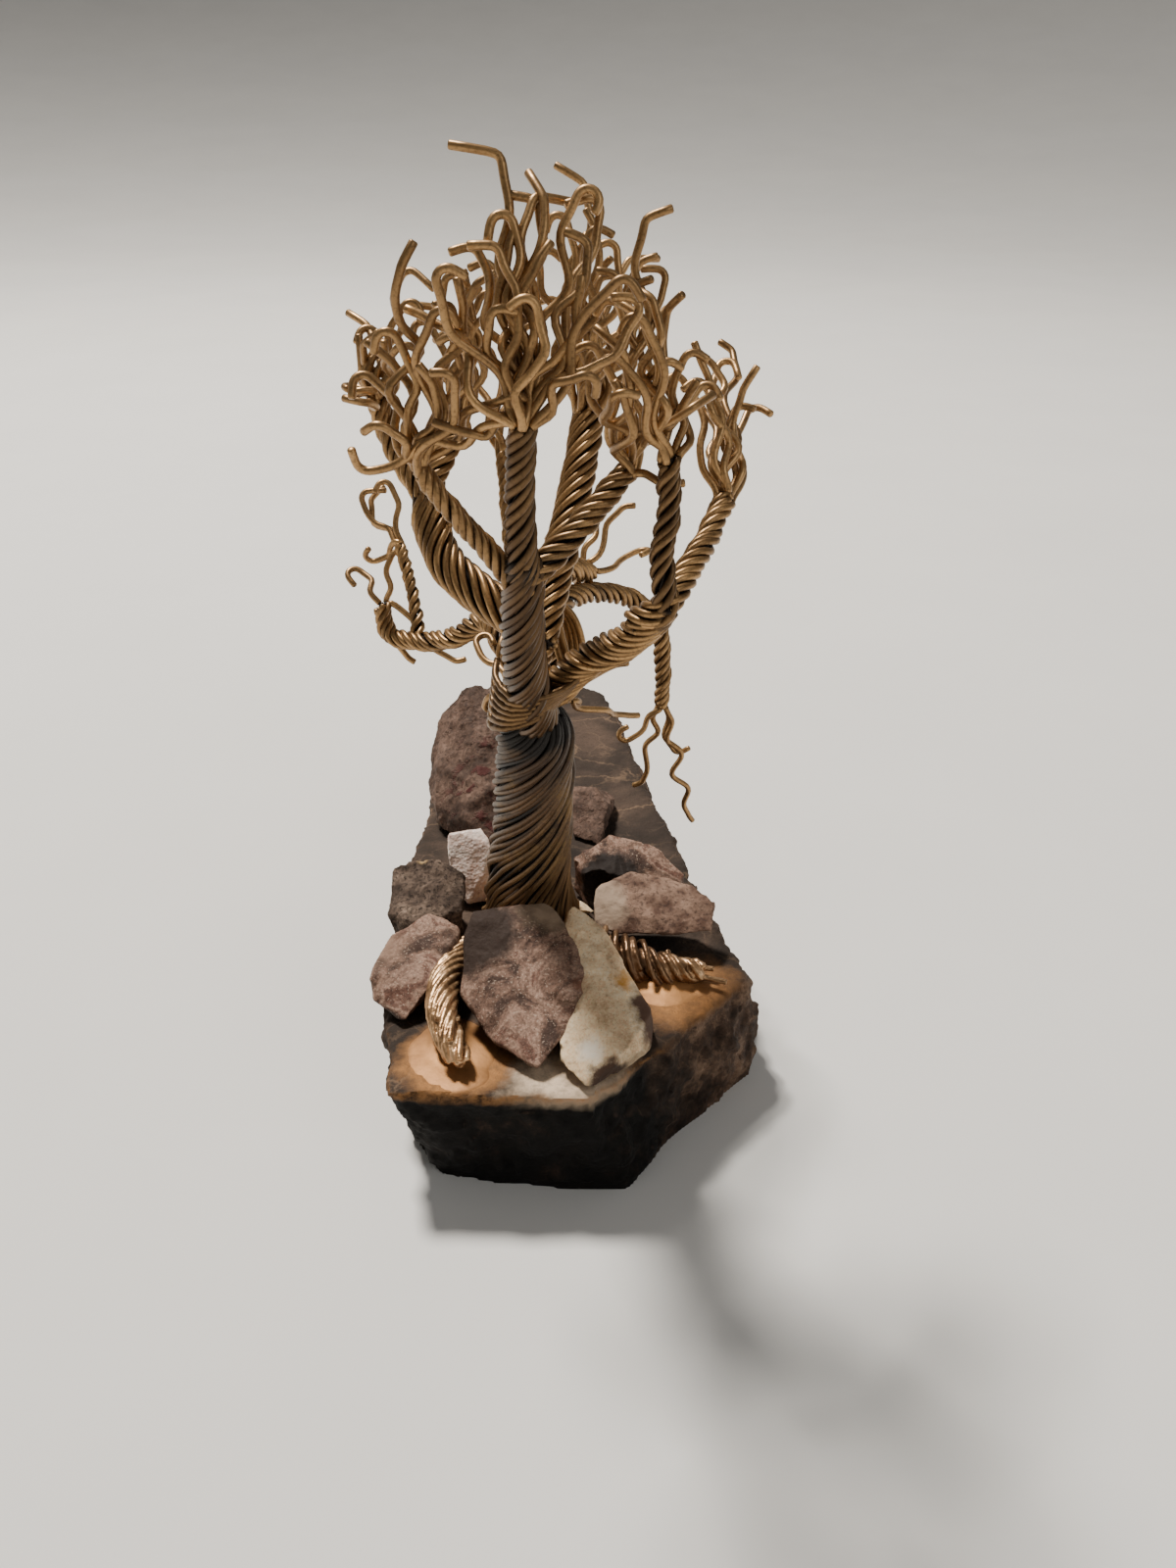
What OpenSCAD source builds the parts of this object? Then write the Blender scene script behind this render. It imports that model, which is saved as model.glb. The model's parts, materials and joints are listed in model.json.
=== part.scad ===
// Tabletop tree of twisted wire on a rough stone slab, with stone chips glued round its foot.
// Millimetres, +Z up. The origin is on the slab's underside, below the middle of its length.
// -Y is the front, where the crown leans, and +X is the right as seen from the front.

/* [Wire] */
// Diameter of one wire
wire_d = 0.8; // [0.7:0.05:0.9]
// Corners round a single wire
wire_sides = 5; // [5:1:8]
// Radius of the bend at a hooked wire end
hook_r = 1; // [0.8:0.1:1.2]
// Length of wire that takes one wave
wave_length = 9; // [7:0.5:12]

/* [Ropes] */
// Radius of the trunk at half height
trunk_r = 5.1; // [4.8:0.1:5.6]
// Wires that show round the trunk
trunk_wires = 28; // [24:1:34]
// Angle of the trunk's wires from its axis
trunk_lay = 24; // [18:1:34]
// Angle of a branch's wires from its axis
branch_lay = 37; // [30:1:45]

/* [Slab] */
// Height of the slab's flat top
slab_h = 16; // [15:0.5:16.5]
// Thickness of the pools of bronze paint and glue
glue_h = 0.8; // [0.5:0.1:1]
// Size of the broken-off corners on the loose stones
nick = 0.5; // [0.2:0.1:0.8]

/* [Hidden] */

wire_r = wire_d / 2;
// How far the straight edges between two rings of a rope may sink below its round surface
branch_sink = 0.3;
trunk_sink = 0.15;
bronze = [0.62, 0.47, 0.27];
dark_bronze = [0.42, 0.33, 0.2];
root_gold = [0.72, 0.52, 0.26];
stone_brown = [0.4, 0.33, 0.29];
stone_grey = [0.55, 0.53, 0.47];
stone_dark = [0.3, 0.28, 0.26];
stone_tan = [0.48, 0.4, 0.37];
stone_pitted = [0.42, 0.33, 0.31];
quartz_pink = [0.75, 0.66, 0.65];

// Ropes: the middle line of each, from where it leaves its parent to its tip
trunk_route = [[-6, -22, 16.5], [-6, -25, 26], [-5, -30, 38], [-4.5, -35, 48], [-4, -39, 56]];
leader_route = [[-4, -40, 56], [-4.5, -47, 63], [-4.5, -55, 73], [-4, -61, 82]];
front_route = [[-4, -60, 80], [-4, -63, 88], [-3.5, -66, 95]];
front_left_route = [[-4.5, -59, 78], [-8, -60, 83], [-11, -61, 87], [-13, -61, 90]];
front_right_route = [[-3.5, -59, 79], [0, -57, 82], [3, -55, 85], [6, -53, 88]];
rear_leader_route = [[-3, -52, 70], [-1, -46, 77], [1, -41, 84], [2, -37, 90]];
thin_route = [[-5, -51, 72], [-6, -44, 79], [-7, -39, 86]];
left_arm_route = [[-5, -51, 72], [-9, -49, 74], [-13, -46, 77], [-15, -42, 83]];
left_outer_route = [[-14.5, -43, 82], [-18, -39, 86], [-20, -37, 91]];
left_inner_route = [[-14.5, -43, 82], [-13, -41, 86], [-11, -40, 89]];
stub_route = [[-13, -45, 79], [-11, -45, 82]];
right_arm_route = [[-2, -42, 60], [2, -47, 66], [6, -52, 70], [10, -57, 76]];
right_near_route = [[9.5, -56.5, 75], [9, -57, 80], [9.5, -57, 85], [9.5, -57, 90]];
right_far_route = [[9.5, -56.5, 75.5], [12, -53, 78], [14, -49, 80], [16, -45, 83]];
low_left_route = [
    [-6, -35, 58], [-10, -25, 62], [-15, -20, 58], [-20, -16, 56], [-24, -14, 56], [-25, -13, 60]];
sprig_route = [[-20, -16, 56], [-21, -12, 61], [-23, -8, 67]];
rear_right_route = [
    [-3, -36, 60], [-1, -29, 66], [6, -18, 63], [11, -14, 58], [12, -13, 51], [12, -12, 45]];
rear_short_route = [[-4, -40, 62], [-2, -29, 69], [2, -21, 67]];

// Wires at the crotch. The wrap's wires lie between a low one and a high one, and end inside the right arm.
wrap_low_route = [
    [-9, -38, 56], [-9, -42, 56], [-7, -45, 57], [-4, -45, 58], [-1, -44, 60], [1, -44, 62], [3, -46, 65]];
wrap_high_route = [
    [-8, -42, 64], [-8, -45, 63], [-6, -48, 62], [-3, -48, 62], [0, -47, 63], [3, -48, 66], [5, -50, 68]];
riser_routes = [
    [[-4, -44, 72], [-2.5, -41.5, 69.5], [-1.3, -42.3, 65], [0, -44.5, 62]],
    [[-3.2, -43.4, 72], [-1.7, -41, 69.5], [-0.5, -42, 65], [0.6, -44, 62.5]]];

// Roots, from under the trunk to the chopped end
front_root_route = [[-9, -27, 19], [-15, -37, 20], [-16, -45, 20], [-15, -50, 19], [-13, -55, 18]];
right_root_route = [[-1, -28, 19], [6, -33, 18.5], [11, -35, 18], [17, -36, 17.5]];
rear_root_route = [[-6, -17, 19], [-6, -11, 18], [-5, -6, 17.5]];

// Twigs: one row for each wire, from the tip of its branch.
// [end x, end y, end z, wave height, way the wave and the hook lean in degrees, hook bend, straight tail]
front_ends = [
    [-5, -59, 114.5, 0.8, 180, 80, 3.6], [-2, -60, 111, 1, 180, 85, 1.6],
    [1, -60, 112, 1.1, 0, 200, 0.6], [3, -58.5, 110.5, 0.9, 200, 130, 2],
    [-10, -67, 106, 1.4, 0, 150, 1.2], [-4, -62, 110, 1.2, 180, 170, 1.4],
    [4, -66, 106, 1.3, 0, 120, 1.4], [-7, -60, 107.5, 1.1, 180, 100, 1.4],
    [6, -63, 103, 1.4, 180, 140, 1.4], [-2, -67, 104, 1.5, 180, 140, 1],
    [2, -63, 108, 1.3, 180, 90, 1.4], [-6, -66, 103, 1.5, 0, 120, 1.2],
    [1, -68, 99, 1.5, 0, 150, 1], [-17, -62, 90, 1, 180, 110, 1.6]];
front_left_ends = [
    [-11, -64, 103, 1.6, 0, 150, 1], [-14, -62, 101, 1.3, 180, 160, 1.2],
    [-17, -58, 97, 1.4, 180, 150, 1.2], [-8, -62, 99, 1.2, 90, 120, 1],
    [-9, -66, 98, 1.4, 180, 120, 1], [-15, -64, 94, 1.2, 180, 110, 1.2],
    [-5, -66, 97, 1.5, 0, 100, 1.2]];
front_right_ends = [
    [10, -55, 87, 0.4, 0, 20, 0.8], [8, -58, 98, 1.5, 0, 120, 1],
    [5, -52, 102, 1.4, 180, 150, 1], [7, -50, 109, 1.2, 0, 70, 2],
    [3, -56, 99, 1.3, 180, 110, 1.2], [4, -62, 96, 1.5, 0, 140, 1],
    [9, -52, 93, 1.2, 180, 120, 1], [2, -51, 97, 1.2, 0, 130, 1]];
rear_leader_ends = [
    [7, -36, 104, 1.2, 0, 60, 1.4], [5, -34, 105, 1.3, 180, 130, 1.4],
    [0, -36, 108, 1.2, 180, 160, 1], [10, -32, 102, 1.1, 180, 120, 1.6],
    [-3, -33, 104, 1.4, 0, 150, 1], [4, -28, 100, 1.3, 90, 140, 1],
    [-1, -27, 99, 1.2, 180, 110, 1.4], [8, -27, 97, 1.4, 180, 130, 1.2],
    [2, -40, 107, 1.3, 0, 120, 1.2], [5, -42, 103, 1.4, 180, 100, 1.4]];
thin_ends = [[-8, -34, 95, 1, 180, 140, 1], [-5, -32, 97, 1.1, 0, 120, 1],
    [-10, -33, 92, 0.9, 180, 160, 0.8]];
left_outer_ends = [
    [-22.5, -31, 91, 1.1, 180, 190, 0.8], [-20, -34, 97, 1.2, 180, 160, 1],
    [-17, -36, 100, 1.2, 0, 170, 1], [-18, -28, 102, 1.3, 0, 130, 3],
    [-22, -40, 92, 1.2, 0, 150, 1.4], [-20, -43, 92, 1, 180, 120, 1.2],
    [-17, -43, 97, 1.3, 0, 140, 1]];
left_inner_ends = [
    [-12, -42, 103, 1.3, 0, 150, 1], [-14, -36, 98, 1.2, 180, 160, 1],
    [-9, -38, 101, 1.4, 0, 120, 1.4], [-12, -31, 96, 1.2, 180, 140, 1],
    [-7, -43, 104, 1.3, 180, 130, 1.2], [-10, -46, 98, 1.4, 180, 140, 1]];
right_near_ends = [
    [10.5, -55, 98, 1.2, 0, 120, 1], [7, -60, 102, 1.3, 180, 150, 1],
    [12, -53, 95, 1.2, 0, 150, 1], [5, -61, 99, 1.2, 180, 130, 1.2],
    [8, -50, 102, 1.3, 180, 100, 1.6]];
right_far_ends = [
    [16, -30, 93, 1.2, 0, 170, 2], [18, -27, 94, 1.2, 180, 60, 1.4],
    [19, -34, 89, 1.1, 0, 130, 1.4], [14, -35, 90, 1.2, 180, 150, 1],
    [14, -41, 93, 1.3, 180, 120, 1.2], [17, -39, 90, 1.2, 0, 110, 1],
    [12, -38, 93, 1.2, 180, 160, 0.8]];
low_left_ends = [
    [-28, -9, 63, 0.9, 180, 190, 1.4], [-24, -9, 65, 0.9, 0, 160, 1],
    [-22, -14, 53, 0.4, 0, 30, 0.8], [-16, -15, 53, 0.8, 0, 60, 1]];
sprig_ends = [[-28, -4, 71, 0.9, 0, 130, 2.4], [-24, -4, 73, 0.8, 180, 150, 1],
    [-26, -7, 64, 0.8, 180, 170, 1]];
rear_right_ends = [
    [10, -7, 31, 0.9, 180, 60, 1], [17, -5, 24, 1, 0, 20, 1],
    [8, -12, 40, 0.8, 180, 200, 1], [14, -9, 37, 0.9, 0, 120, 1]];
rear_short_ends = [
    [6, -18, 74, 0.9, 0, 60, 1], [3, -17, 72, 0.8, 180, 150, 1],
    [8, -16, 68, 0.9, 0, 190, 1], [-1, -16, 70, 0.8, 180, 140, 1]];
// Curls that leave the rope at the crotch: left ones, then right ones
left_curl_start = [-7, -38, 60];
left_curl_ends = [[-11, -33, 62, 0.8, 0, 200, 1], [-10, -36, 56, 0.7, 0, 180, 0.8]];
right_curl_start = [-2, -36, 57];
right_curl_ends = [[7, -24, 49, 0.9, 0, 30, 1.4], [5, -27, 57, 0.5, 0, 70, 1]];

// ---- Curves ----
function unit(v) = v / norm(v);
function mix(a, b, t) = a * (1 - t) + b * t;

// One point of a smooth curve through b and c, with a before them and d after
function curve_point(a, b, c, d, t) =
    ((2 * b) + (c - a) * t + (2 * a - 5 * b + 4 * c - d) * t * t + (3 * b - a - 3 * c + d) * t * t * t) / 2;

// The smooth curve through a route, with its points about a gap apart
function smooth(route, gap) = let (last = len(route) - 1) [
    for (i = [0 : last - 1])
        let (steps = ceil(norm(route[i + 1] - route[i]) / gap))
        for (s = [0 : steps - 1])
            curve_point(route[max(i - 1, 0)], route[i], route[i + 1], route[min(i + 2, last)], s / steps),
    route[last]];

function tangents(path) = let (last = len(path) - 1) [
    for (i = [0 : last]) unit(path[min(i + 1, last)] - path[max(i - 1, 0)])];

// A direction across the path at each point, carried along it without turning
function any_across(t) = unit(cross(t, abs(t.x) < 0.7 ? [1, 0, 0] : [0, 1, 0]));
function turn_to(n, t) = unit(n - (n * t) * t);
function across(t) = [
    for (i = 0, n = any_across(t[0]); i < len(t); i = i + 1, n = i < len(t) ? turn_to(n, t[i]) : n) n];

// How far along the path each of its points lies
function reaches(path) = [
    for (i = 0, s = 0; i < len(path); i = i + 1, s = i < len(path) ? s + norm(path[i] - path[i - 1]) : s) s];

// The route of one twig: a wavy line to its end, then a hook and a short straight tail
function twig_route(start, row) =
    let (end = [row[0], row[1], row[2]], reach = norm(end - start), d = (end - start) / reach,
         lean = [cos(row[4]), sin(row[4]), 0.2], side = unit(lean - (lean * d) * d), bow = cross(d, side),
         waves = max(1, round(reach / wave_length)), steps = 3 + 3 * waves, bends = ceil(row[5] / 50),
         turn_end = end + hook_r * (sin(row[5]) * d + (1 - cos(row[5])) * side))
    concat(
        [for (i = [0 : steps])
            let (t = i / steps, swell = (1 - pow(t, 4)) * (1 - pow(1 - t, 4)))
            mix(start, end, t) + row[3] * swell * (sin(360 * waves * t) * side + 0.6 * sin(180 * t) * bow)],
        [for (i = [1 : bends])
            let (a = row[5] * i / bends) end + hook_r * (sin(a) * d + (1 - cos(a)) * side)],
        [turn_end + row[6] * (cos(row[5]) * d + sin(row[5]) * side)]);

// ---- Shapes ----
// A closed tube along a path. Corner k of ring i lies at radius radii[i][k % len], turned by turns[i].
module tube(path, sides, radii, turns) {
    t = tangents(path);
    n = across(t);
    last = len(path) - 1;
    points = [
        for (i = [0 : last], k = [0 : sides - 1])
            let (a = 360 * k / sides + turns[i], b = cross(t[i], n[i]), r = radii[i][k % len(radii[i])])
            path[i] + r * (cos(a) * n[i] + sin(a) * b)];
    walls = [
        for (i = [0 : last - 1], k = [0 : sides - 1])
            let (a = i * sides + k, b = i * sides + (k + 1) % sides)
            each [[a, a + sides, b], [b, a + sides, b + sides]]];
    polyhedron(points, concat(walls,
        [[for (k = [0 : sides - 1]) k]], [[for (k = [sides - 1 : -1 : 0]) last * sides + k]]));
}

module wire(path) {
    tube(path, wire_sides, [for (p = path) [wire_r]], [for (p = path) 0]);
}

// A rope: ridges where its outer wires are, twisted right-handed, from radius r0 to r1
module rope(route, r0, r1, ridges, lay, sink = branch_sink) {
    mean_r = (r0 + r1) / 2;
    turn_per_mm = tan(lay) / mean_r * 180 / PI;
    ring_gap = 2 * acos(1 - sink / mean_r) / turn_per_mm;
    path = smooth(route, ring_gap);
    last = len(path) - 1;
    groove = wire_r * 0.7;
    radii = [for (i = [0 : last]) let (r = mix(r0, r1, i / last)) [r, r - groove]];
    turns = [for (s = reaches(path)) s * turn_per_mm];
    tube(path, 2 * ridges, radii, turns);
}

module branch(route, r0, r1) {
    least_ridges = 5;
    ridges = floor((r0 + r1) * PI * cos(branch_lay) / wire_d);
    color(bronze) rope(route, r0, r1, max(least_ridges, ridges), branch_lay);
}

module twigs(start, ends) {
    color(bronze) for (row = ends) wire(twig_route(start, row));
}

function tip(route) = route[len(route) - 1];

// A stone chip: the solid that its corners enclose, each corner a little broken off
module chip(corners, tint) {
    color(tint) hull() for (p = corners) translate(p) cube(nick, center = true);
}

// ---- Slab and glue ----
slab_under = [
    [-16, -54], [-8, -56], [7, -57], [13, -47], [20, -40], [25, -34], [23, -23], [19, -11], [16, 3], [12, 20],
    [9, 41], [5, 58], [-6, 65], [-17, 61], [-22, 44], [-23, 20], [-24, 0], [-24.5, -20], [-24, -38],
    [-20, -48]];
slab_waist = [
    [-20, -56], [-10, -57.5], [4, -59], [13, -50], [20, -41], [26, -33], [24, -23], [20, -11], [18, 3],
    [14, 21], [10, 43], [6, 62], [-6, 69], [-19, 65], [-24.5, 46], [-25, 20], [-26, 0], [-26, -20],
    [-25, -36], [-22, -47]];
slab_top = [
    [-22, -58], [-10, -58.5], [2, -59], [12, -49], [18, -41], [24, -34], [21, -25], [18, -12], [16, 2],
    [12, 20], [9, 42], [5, 60], [-6, 67], [-18, 63], [-23, 45], [-24, 20], [-25, 0], [-25, -20],
    [-25, -38], [-23, -50]];

module slab() {
    rings = [[slab_under, 0], [slab_waist, slab_h / 2], [slab_top, slab_h]];
    sides = len(slab_top);
    points = [for (ring = rings, p = ring[0]) [p.x, p.y, ring[1]]];
    walls = [
        for (i = [0 : 1], k = [0 : sides - 1])
            let (a = i * sides + k, b = i * sides + (k + 1) % sides)
            each [[a, a + sides, b + sides], [a, b + sides, b]]];
    color(stone_brown) polyhedron(points, concat(walls,
        [[for (k = [0 : sides - 1]) k]], [[for (k = [sides - 1 : -1 : 0]) 2 * sides + k]]));
}

module front_glue() {
    pool = [[-22, -47], [-19, -41], [-13, -42], [-10, -50], [-7, -56], [-13, -58], [-20, -57], [-22, -53]];
    color(root_gold) translate([0, 0, slab_h]) linear_extrude(glue_h) polygon(pool);
}

module right_glue() {
    pool = [[8, -36], [10, -43], [13, -44], [18, -38], [21, -36], [20, -33], [14, -31]];
    color(root_gold) translate([0, 0, slab_h]) linear_extrude(glue_h) polygon(pool);
}

// ---- Stones ----
module front_shard() {
    chip([
        [-12.5, -36, 27], [-3, -35, 27.5], [0, -40, 26], [1.5, -45, 24], [0, -50, 20.5], [-4, -55, 17.5],
        [-10, -50, 18.5], [-13.5, -45, 21], [-13.5, -39, 25], [-12, -34, 23], [-3, -33, 24], [-2, -44, 19],
        [-5, -52, 16.5], [-12, -43, 18]], stone_brown);
}

module grey_stone() {
    chip([
        [0, -36, 28], [4, -39, 26], [7, -44, 23], [9.5, -49, 21], [9.5, -51, 17], [5, -56, 19],
        [2, -57.5, 17], [-1, -54, 18], [-2, -42, 24], [6, -38, 17], [10, -46, 16.5], [0, -38, 18]],
        stone_grey);
}

module left_front_stone() {
    chip([
        [-15, -33, 23], [-19, -31, 23.5], [-24, -35, 22], [-25.5, -40, 20], [-25, -42, 17.5], [-21, -45, 17],
        [-17.5, -41, 20], [-15, -36, 21], [-24, -34, 16.5], [-16, -33, 16.5], [-22, -44, 16.5]], stone_brown);
}

module left_dark_stone() {
    chip([
        [-25, -20, 24], [-19, -20, 25.5], [-15, -22, 24], [-15, -27, 22], [-20, -30, 21], [-25, -27, 21],
        [-24.5, -21, 16.5], [-16, -20, 16.5], [-15.5, -28, 16.5], [-23, -29, 16.5]], stone_dark);
}

module pale_quartz() {
    chip([
        [-18, -13, 25.5], [-13.5, -12, 25.5], [-12, -14, 24], [-12, -17, 17], [-15, -18, 17],
        [-17.5, -16, 21], [-17, -12, 16.5], [-12, -12, 16.5]], quartz_pink);
}

module right_rear_stone() {
    chip([
        [0, -14, 22], [5, -13, 25], [12, -15, 24], [15.5, -18, 21], [14, -21, 20], [8, -20, 23],
        [2, -19, 22], [0, -14, 16.5], [15, -17, 16.5], [13, -21, 17], [3, -20, 16.5]], stone_brown);
}

module right_block() {
    chip([
        [3, -26, 24.5], [8, -23, 25], [15, -24, 24], [19, -27, 22.5], [3, -30, 21], [7, -31, 20.5],
        [14, -31, 20.5], [18.5, -30, 20.5], [5, -24, 18], [15, -24, 18.5]], stone_tan);
}

module rear_rock() {
    chip([
        [-23, 8, 16.5], [-24, 14, 20], [-22, 20, 29], [-17, 21, 34], [-11, 20, 33], [-6, 17, 29],
        [-3, 12, 24], [-2, 4, 16.5], [-8, -3, 17], [-16, -4, 18], [-21, 0, 19], [-12, 3, 27],
        [-20, 24, 16.5], [-6, 24, 16.5]], stone_pitted);
}

module rear_lump() {
    chip([
        [0, 2, 16.5], [4, -1, 16.5], [5, 5, 20], [3, 9, 21.5], [-1, 10, 21], [6, 11, 18], [6, 14, 16.5],
        [-2, 14, 16.5]], stone_pitted);
}

module pebbles() {
    // middle x, middle y, size
    spots = [
        [-12, -25, 2.4], [-10, -20, 2], [1.5, -20, 2.2], [-13, -30, 1.8], [2, -24, 1.8], [-11, -16, 1.6]];
    for (s = spots)
        let (r = s[2] / 2, z = slab_h + r)
        chip([
            [s.x - r, s.y, z], [s.x + r, s.y - r / 2, z], [s.x, s.y - r, z + r / 2], [s.x, s.y + r, z],
            [s.x - r / 2, s.y, z + r], [s.x + r / 2, s.y, z - r / 2], [s.x - r / 2, s.y, z - r / 2]],
            stone_grey);
}

// ---- Roots, trunk and branches ----
module root(route, r0, r1) {
    strands = 8;
    color(root_gold) rope(route, r0, r1, strands, branch_lay);
}

module front_root() { root(front_root_route, 2.2, 1.9); }
module right_root() { root(right_root_route, 2.8, 2.5); }
module rear_root() { root(rear_root_route, 2.1, 1.5); }

module trunk() {
    flare = 0.8;
    color(dark_bronze)
        rope(trunk_route, trunk_r + flare, trunk_r - flare, trunk_wires, trunk_lay, trunk_sink);
}

// Wires that sweep round the front of the trunk's top, from the left up into the right arm
module crotch_wrap() {
    wires = 7;
    gap = 3;
    low = smooth(wrap_low_route, gap);
    high = smooth(wrap_high_route, gap);
    steps = min(len(low), len(high)) - 1;
    color(bronze) for (k = [0 : wires - 1])
        wire([for (i = [0 : steps])
            let (low_point = low[round(i * (len(low) - 1) / steps)])
            let (high_point = high[round(i * (len(high) - 1) / steps)])
            mix(low_point, high_point, k / (wires - 1))]);
}

// Parallel wires that rise behind the leader, arch to the right and come down again, and the two in front
module arch_wires() {
    wires = 5;
    middle = [-1.5, -37, 62];
    wide_r = 3;
    high_r = 6.5;
    inward = 0.6;
    backward = 0.7;
    color(bronze) {
        for (k = [0 : wires - 1])
            let (in = k * inward, back = k * backward)
            wire([for (a = [190 : -25 : -10])
                middle + [(wide_r - in) * cos(a), back, (high_r - in) * sin(a)]]);
        for (route = riser_routes)
            wire(smooth(route, 2));
    }
}

module leader() { branch(leader_route, 2.6, 2); }
module front_branch() { branch(front_route, 1.7, 1.3); }
module front_left_branch() { branch(front_left_route, 1.3, 1); }
module front_right_branch() { branch(front_right_route, 1.6, 1.2); }
module rear_leader() { branch(rear_leader_route, 2, 1.8); }
module thin_branch() { branch(thin_route, 1.1, 0.9); }
module left_arm() { branch(left_arm_route, 2.3, 1.9); }
module left_arm_outer() { branch(left_outer_route, 1.5, 1.2); }
module left_arm_inner() { branch(left_inner_route, 1.4, 1.1); }
module cut_stub() { color(bronze) wire(smooth(stub_route, 1.2)); }
module right_arm() { branch(right_arm_route, 2.1, 1.7); }
module right_arm_near() { branch(right_near_route, 1.4, 1.1); }
module right_arm_far() { branch(right_far_route, 1.5, 1.2); }
module low_left_arm() { branch(low_left_route, 1.7, 1.2); }
module low_left_sprig() { branch(sprig_route, 1, 0.8); }
module rear_right_branch() { branch(rear_right_route, 1.5, 1.1); }
module rear_short_branch() { branch(rear_short_route, 1.8, 1.5); }

// ---- Single wires at the branch tips ----
module front_twigs() { twigs(tip(front_route), front_ends); }
module front_left_twigs() { twigs(tip(front_left_route), front_left_ends); }
module front_right_twigs() { twigs(tip(front_right_route), front_right_ends); }
module rear_leader_twigs() { twigs(tip(rear_leader_route), rear_leader_ends); }
module thin_twigs() { twigs(tip(thin_route), thin_ends); }
module left_outer_twigs() { twigs(tip(left_outer_route), left_outer_ends); }
module left_inner_twigs() { twigs(tip(left_inner_route), left_inner_ends); }
module right_near_twigs() { twigs(tip(right_near_route), right_near_ends); }
module right_far_twigs() { twigs(tip(right_far_route), right_far_ends); }
module low_left_twigs() { twigs(tip(low_left_route), low_left_ends); }
module sprig_twigs() { twigs(tip(sprig_route), sprig_ends); }
module rear_right_twigs() { twigs(tip(rear_right_route), rear_right_ends); }
module rear_short_twigs() { twigs(tip(rear_short_route), rear_short_ends); }
module crotch_curls() {
    twigs(left_curl_start, left_curl_ends);
    twigs(right_curl_start, right_curl_ends);
}

slab();
front_glue();
right_glue();
front_shard();
grey_stone();
left_front_stone();
left_dark_stone();
pale_quartz();
right_rear_stone();
right_block();
rear_rock();
rear_lump();
pebbles();
front_root();
right_root();
rear_root();
trunk();
crotch_wrap();
arch_wires();
leader();
front_branch();
front_left_branch();
front_right_branch();
rear_leader();
thin_branch();
left_arm();
left_arm_outer();
left_arm_inner();
cut_stub();
right_arm();
right_arm_near();
right_arm_far();
low_left_arm();
low_left_sprig();
rear_right_branch();
rear_short_branch();
front_twigs();
front_left_twigs();
front_right_twigs();
rear_leader_twigs();
thin_twigs();
left_outer_twigs();
left_inner_twigs();
right_near_twigs();
right_far_twigs();
low_left_twigs();
sprig_twigs();
rear_right_twigs();
rear_short_twigs();
crotch_curls();
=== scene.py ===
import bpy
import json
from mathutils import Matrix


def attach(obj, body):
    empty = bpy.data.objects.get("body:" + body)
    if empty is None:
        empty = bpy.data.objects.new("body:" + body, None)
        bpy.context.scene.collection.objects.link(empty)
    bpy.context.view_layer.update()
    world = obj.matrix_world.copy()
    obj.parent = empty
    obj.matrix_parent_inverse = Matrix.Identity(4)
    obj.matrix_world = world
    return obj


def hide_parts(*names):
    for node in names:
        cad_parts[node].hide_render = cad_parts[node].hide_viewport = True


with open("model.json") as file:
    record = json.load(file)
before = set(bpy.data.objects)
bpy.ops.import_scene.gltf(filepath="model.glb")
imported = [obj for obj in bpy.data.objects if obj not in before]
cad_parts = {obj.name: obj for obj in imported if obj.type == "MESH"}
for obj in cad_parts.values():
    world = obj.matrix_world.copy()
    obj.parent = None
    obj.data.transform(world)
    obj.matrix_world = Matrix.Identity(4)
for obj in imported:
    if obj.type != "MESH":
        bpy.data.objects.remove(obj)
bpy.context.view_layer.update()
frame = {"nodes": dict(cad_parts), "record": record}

import json
import math
import random

import bpy
from mathutils import Vector, kdtree

MM = 0.001
# A wire's radius, the bend of a twig's hook and the length of its waves, in mm
WIRE_R = 0.4
HOOK_R = 1.0
WAVE_LENGTH = 9.0
# How much of a wire's length its chamfered end takes up, in mm
CHAMFER = 0.12
# The slab's height, and how much of it rests level on the ground, in mm
SLAB_H = 16.0
LEVEL_H = 0.6
# Vertices closer than this are one, in metres
SAME_PLACE = 0.00001
# How far the wires lean from their rope's own way, in degrees
BRANCH_LAY = 37
TRUNK_LAY = 22
TRUNK_TOP_LAY = 42

# ---- Ropes: the middle line of each, in mm, from where it leaves its parent to its tip ----
TRUNK = [[-6, -22, 16.5], [-6, -25, 26], [-5, -30, 38], [-4.5, -35, 48], [-4, -39, 56]]
LEADER = [[-4, -40, 56], [-4.5, -47, 63], [-4.5, -55, 73], [-4, -61, 82]]
FRONT = [[-4, -60, 80], [-4, -63, 88], [-3.5, -66, 95]]
FRONT_LEFT = [[-4.5, -59, 78], [-8, -60, 83], [-11, -61, 87], [-13, -61, 90]]
FRONT_RIGHT = [[-3.5, -59, 79], [0, -57, 82], [3, -55, 85], [6, -53, 88]]
REAR_LEADER = [[-3, -52, 70], [-1, -46, 77], [1, -41, 84], [2, -37, 90]]
THIN = [[-5, -51, 72], [-6, -44, 79], [-7, -39, 86]]
LEFT_ARM = [[-5, -51, 72], [-9, -49, 74], [-13, -46, 77], [-15, -42, 83]]
LEFT_OUTER = [[-14.5, -43, 82], [-18, -39, 86], [-20, -37, 91]]
LEFT_INNER = [[-14.5, -43, 82], [-13, -41, 86], [-11, -40, 89]]
STUB = [[-13, -45, 79], [-11, -45, 82]]
RIGHT_ARM = [[-2, -42, 60], [2, -47, 66], [6, -52, 70], [10, -57, 76]]
RIGHT_NEAR = [[9.5, -56.5, 75], [9, -57, 80], [9.5, -57, 85], [9.5, -57, 90]]
RIGHT_FAR = [[9.5, -56.5, 75.5], [12, -53, 78], [14, -49, 80], [16, -45, 83]]
LOW_LEFT = [
    [-6, -35, 58], [-10, -25, 62], [-15, -20, 58], [-20, -16, 56], [-24, -14, 56], [-25, -13, 60]]
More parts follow.
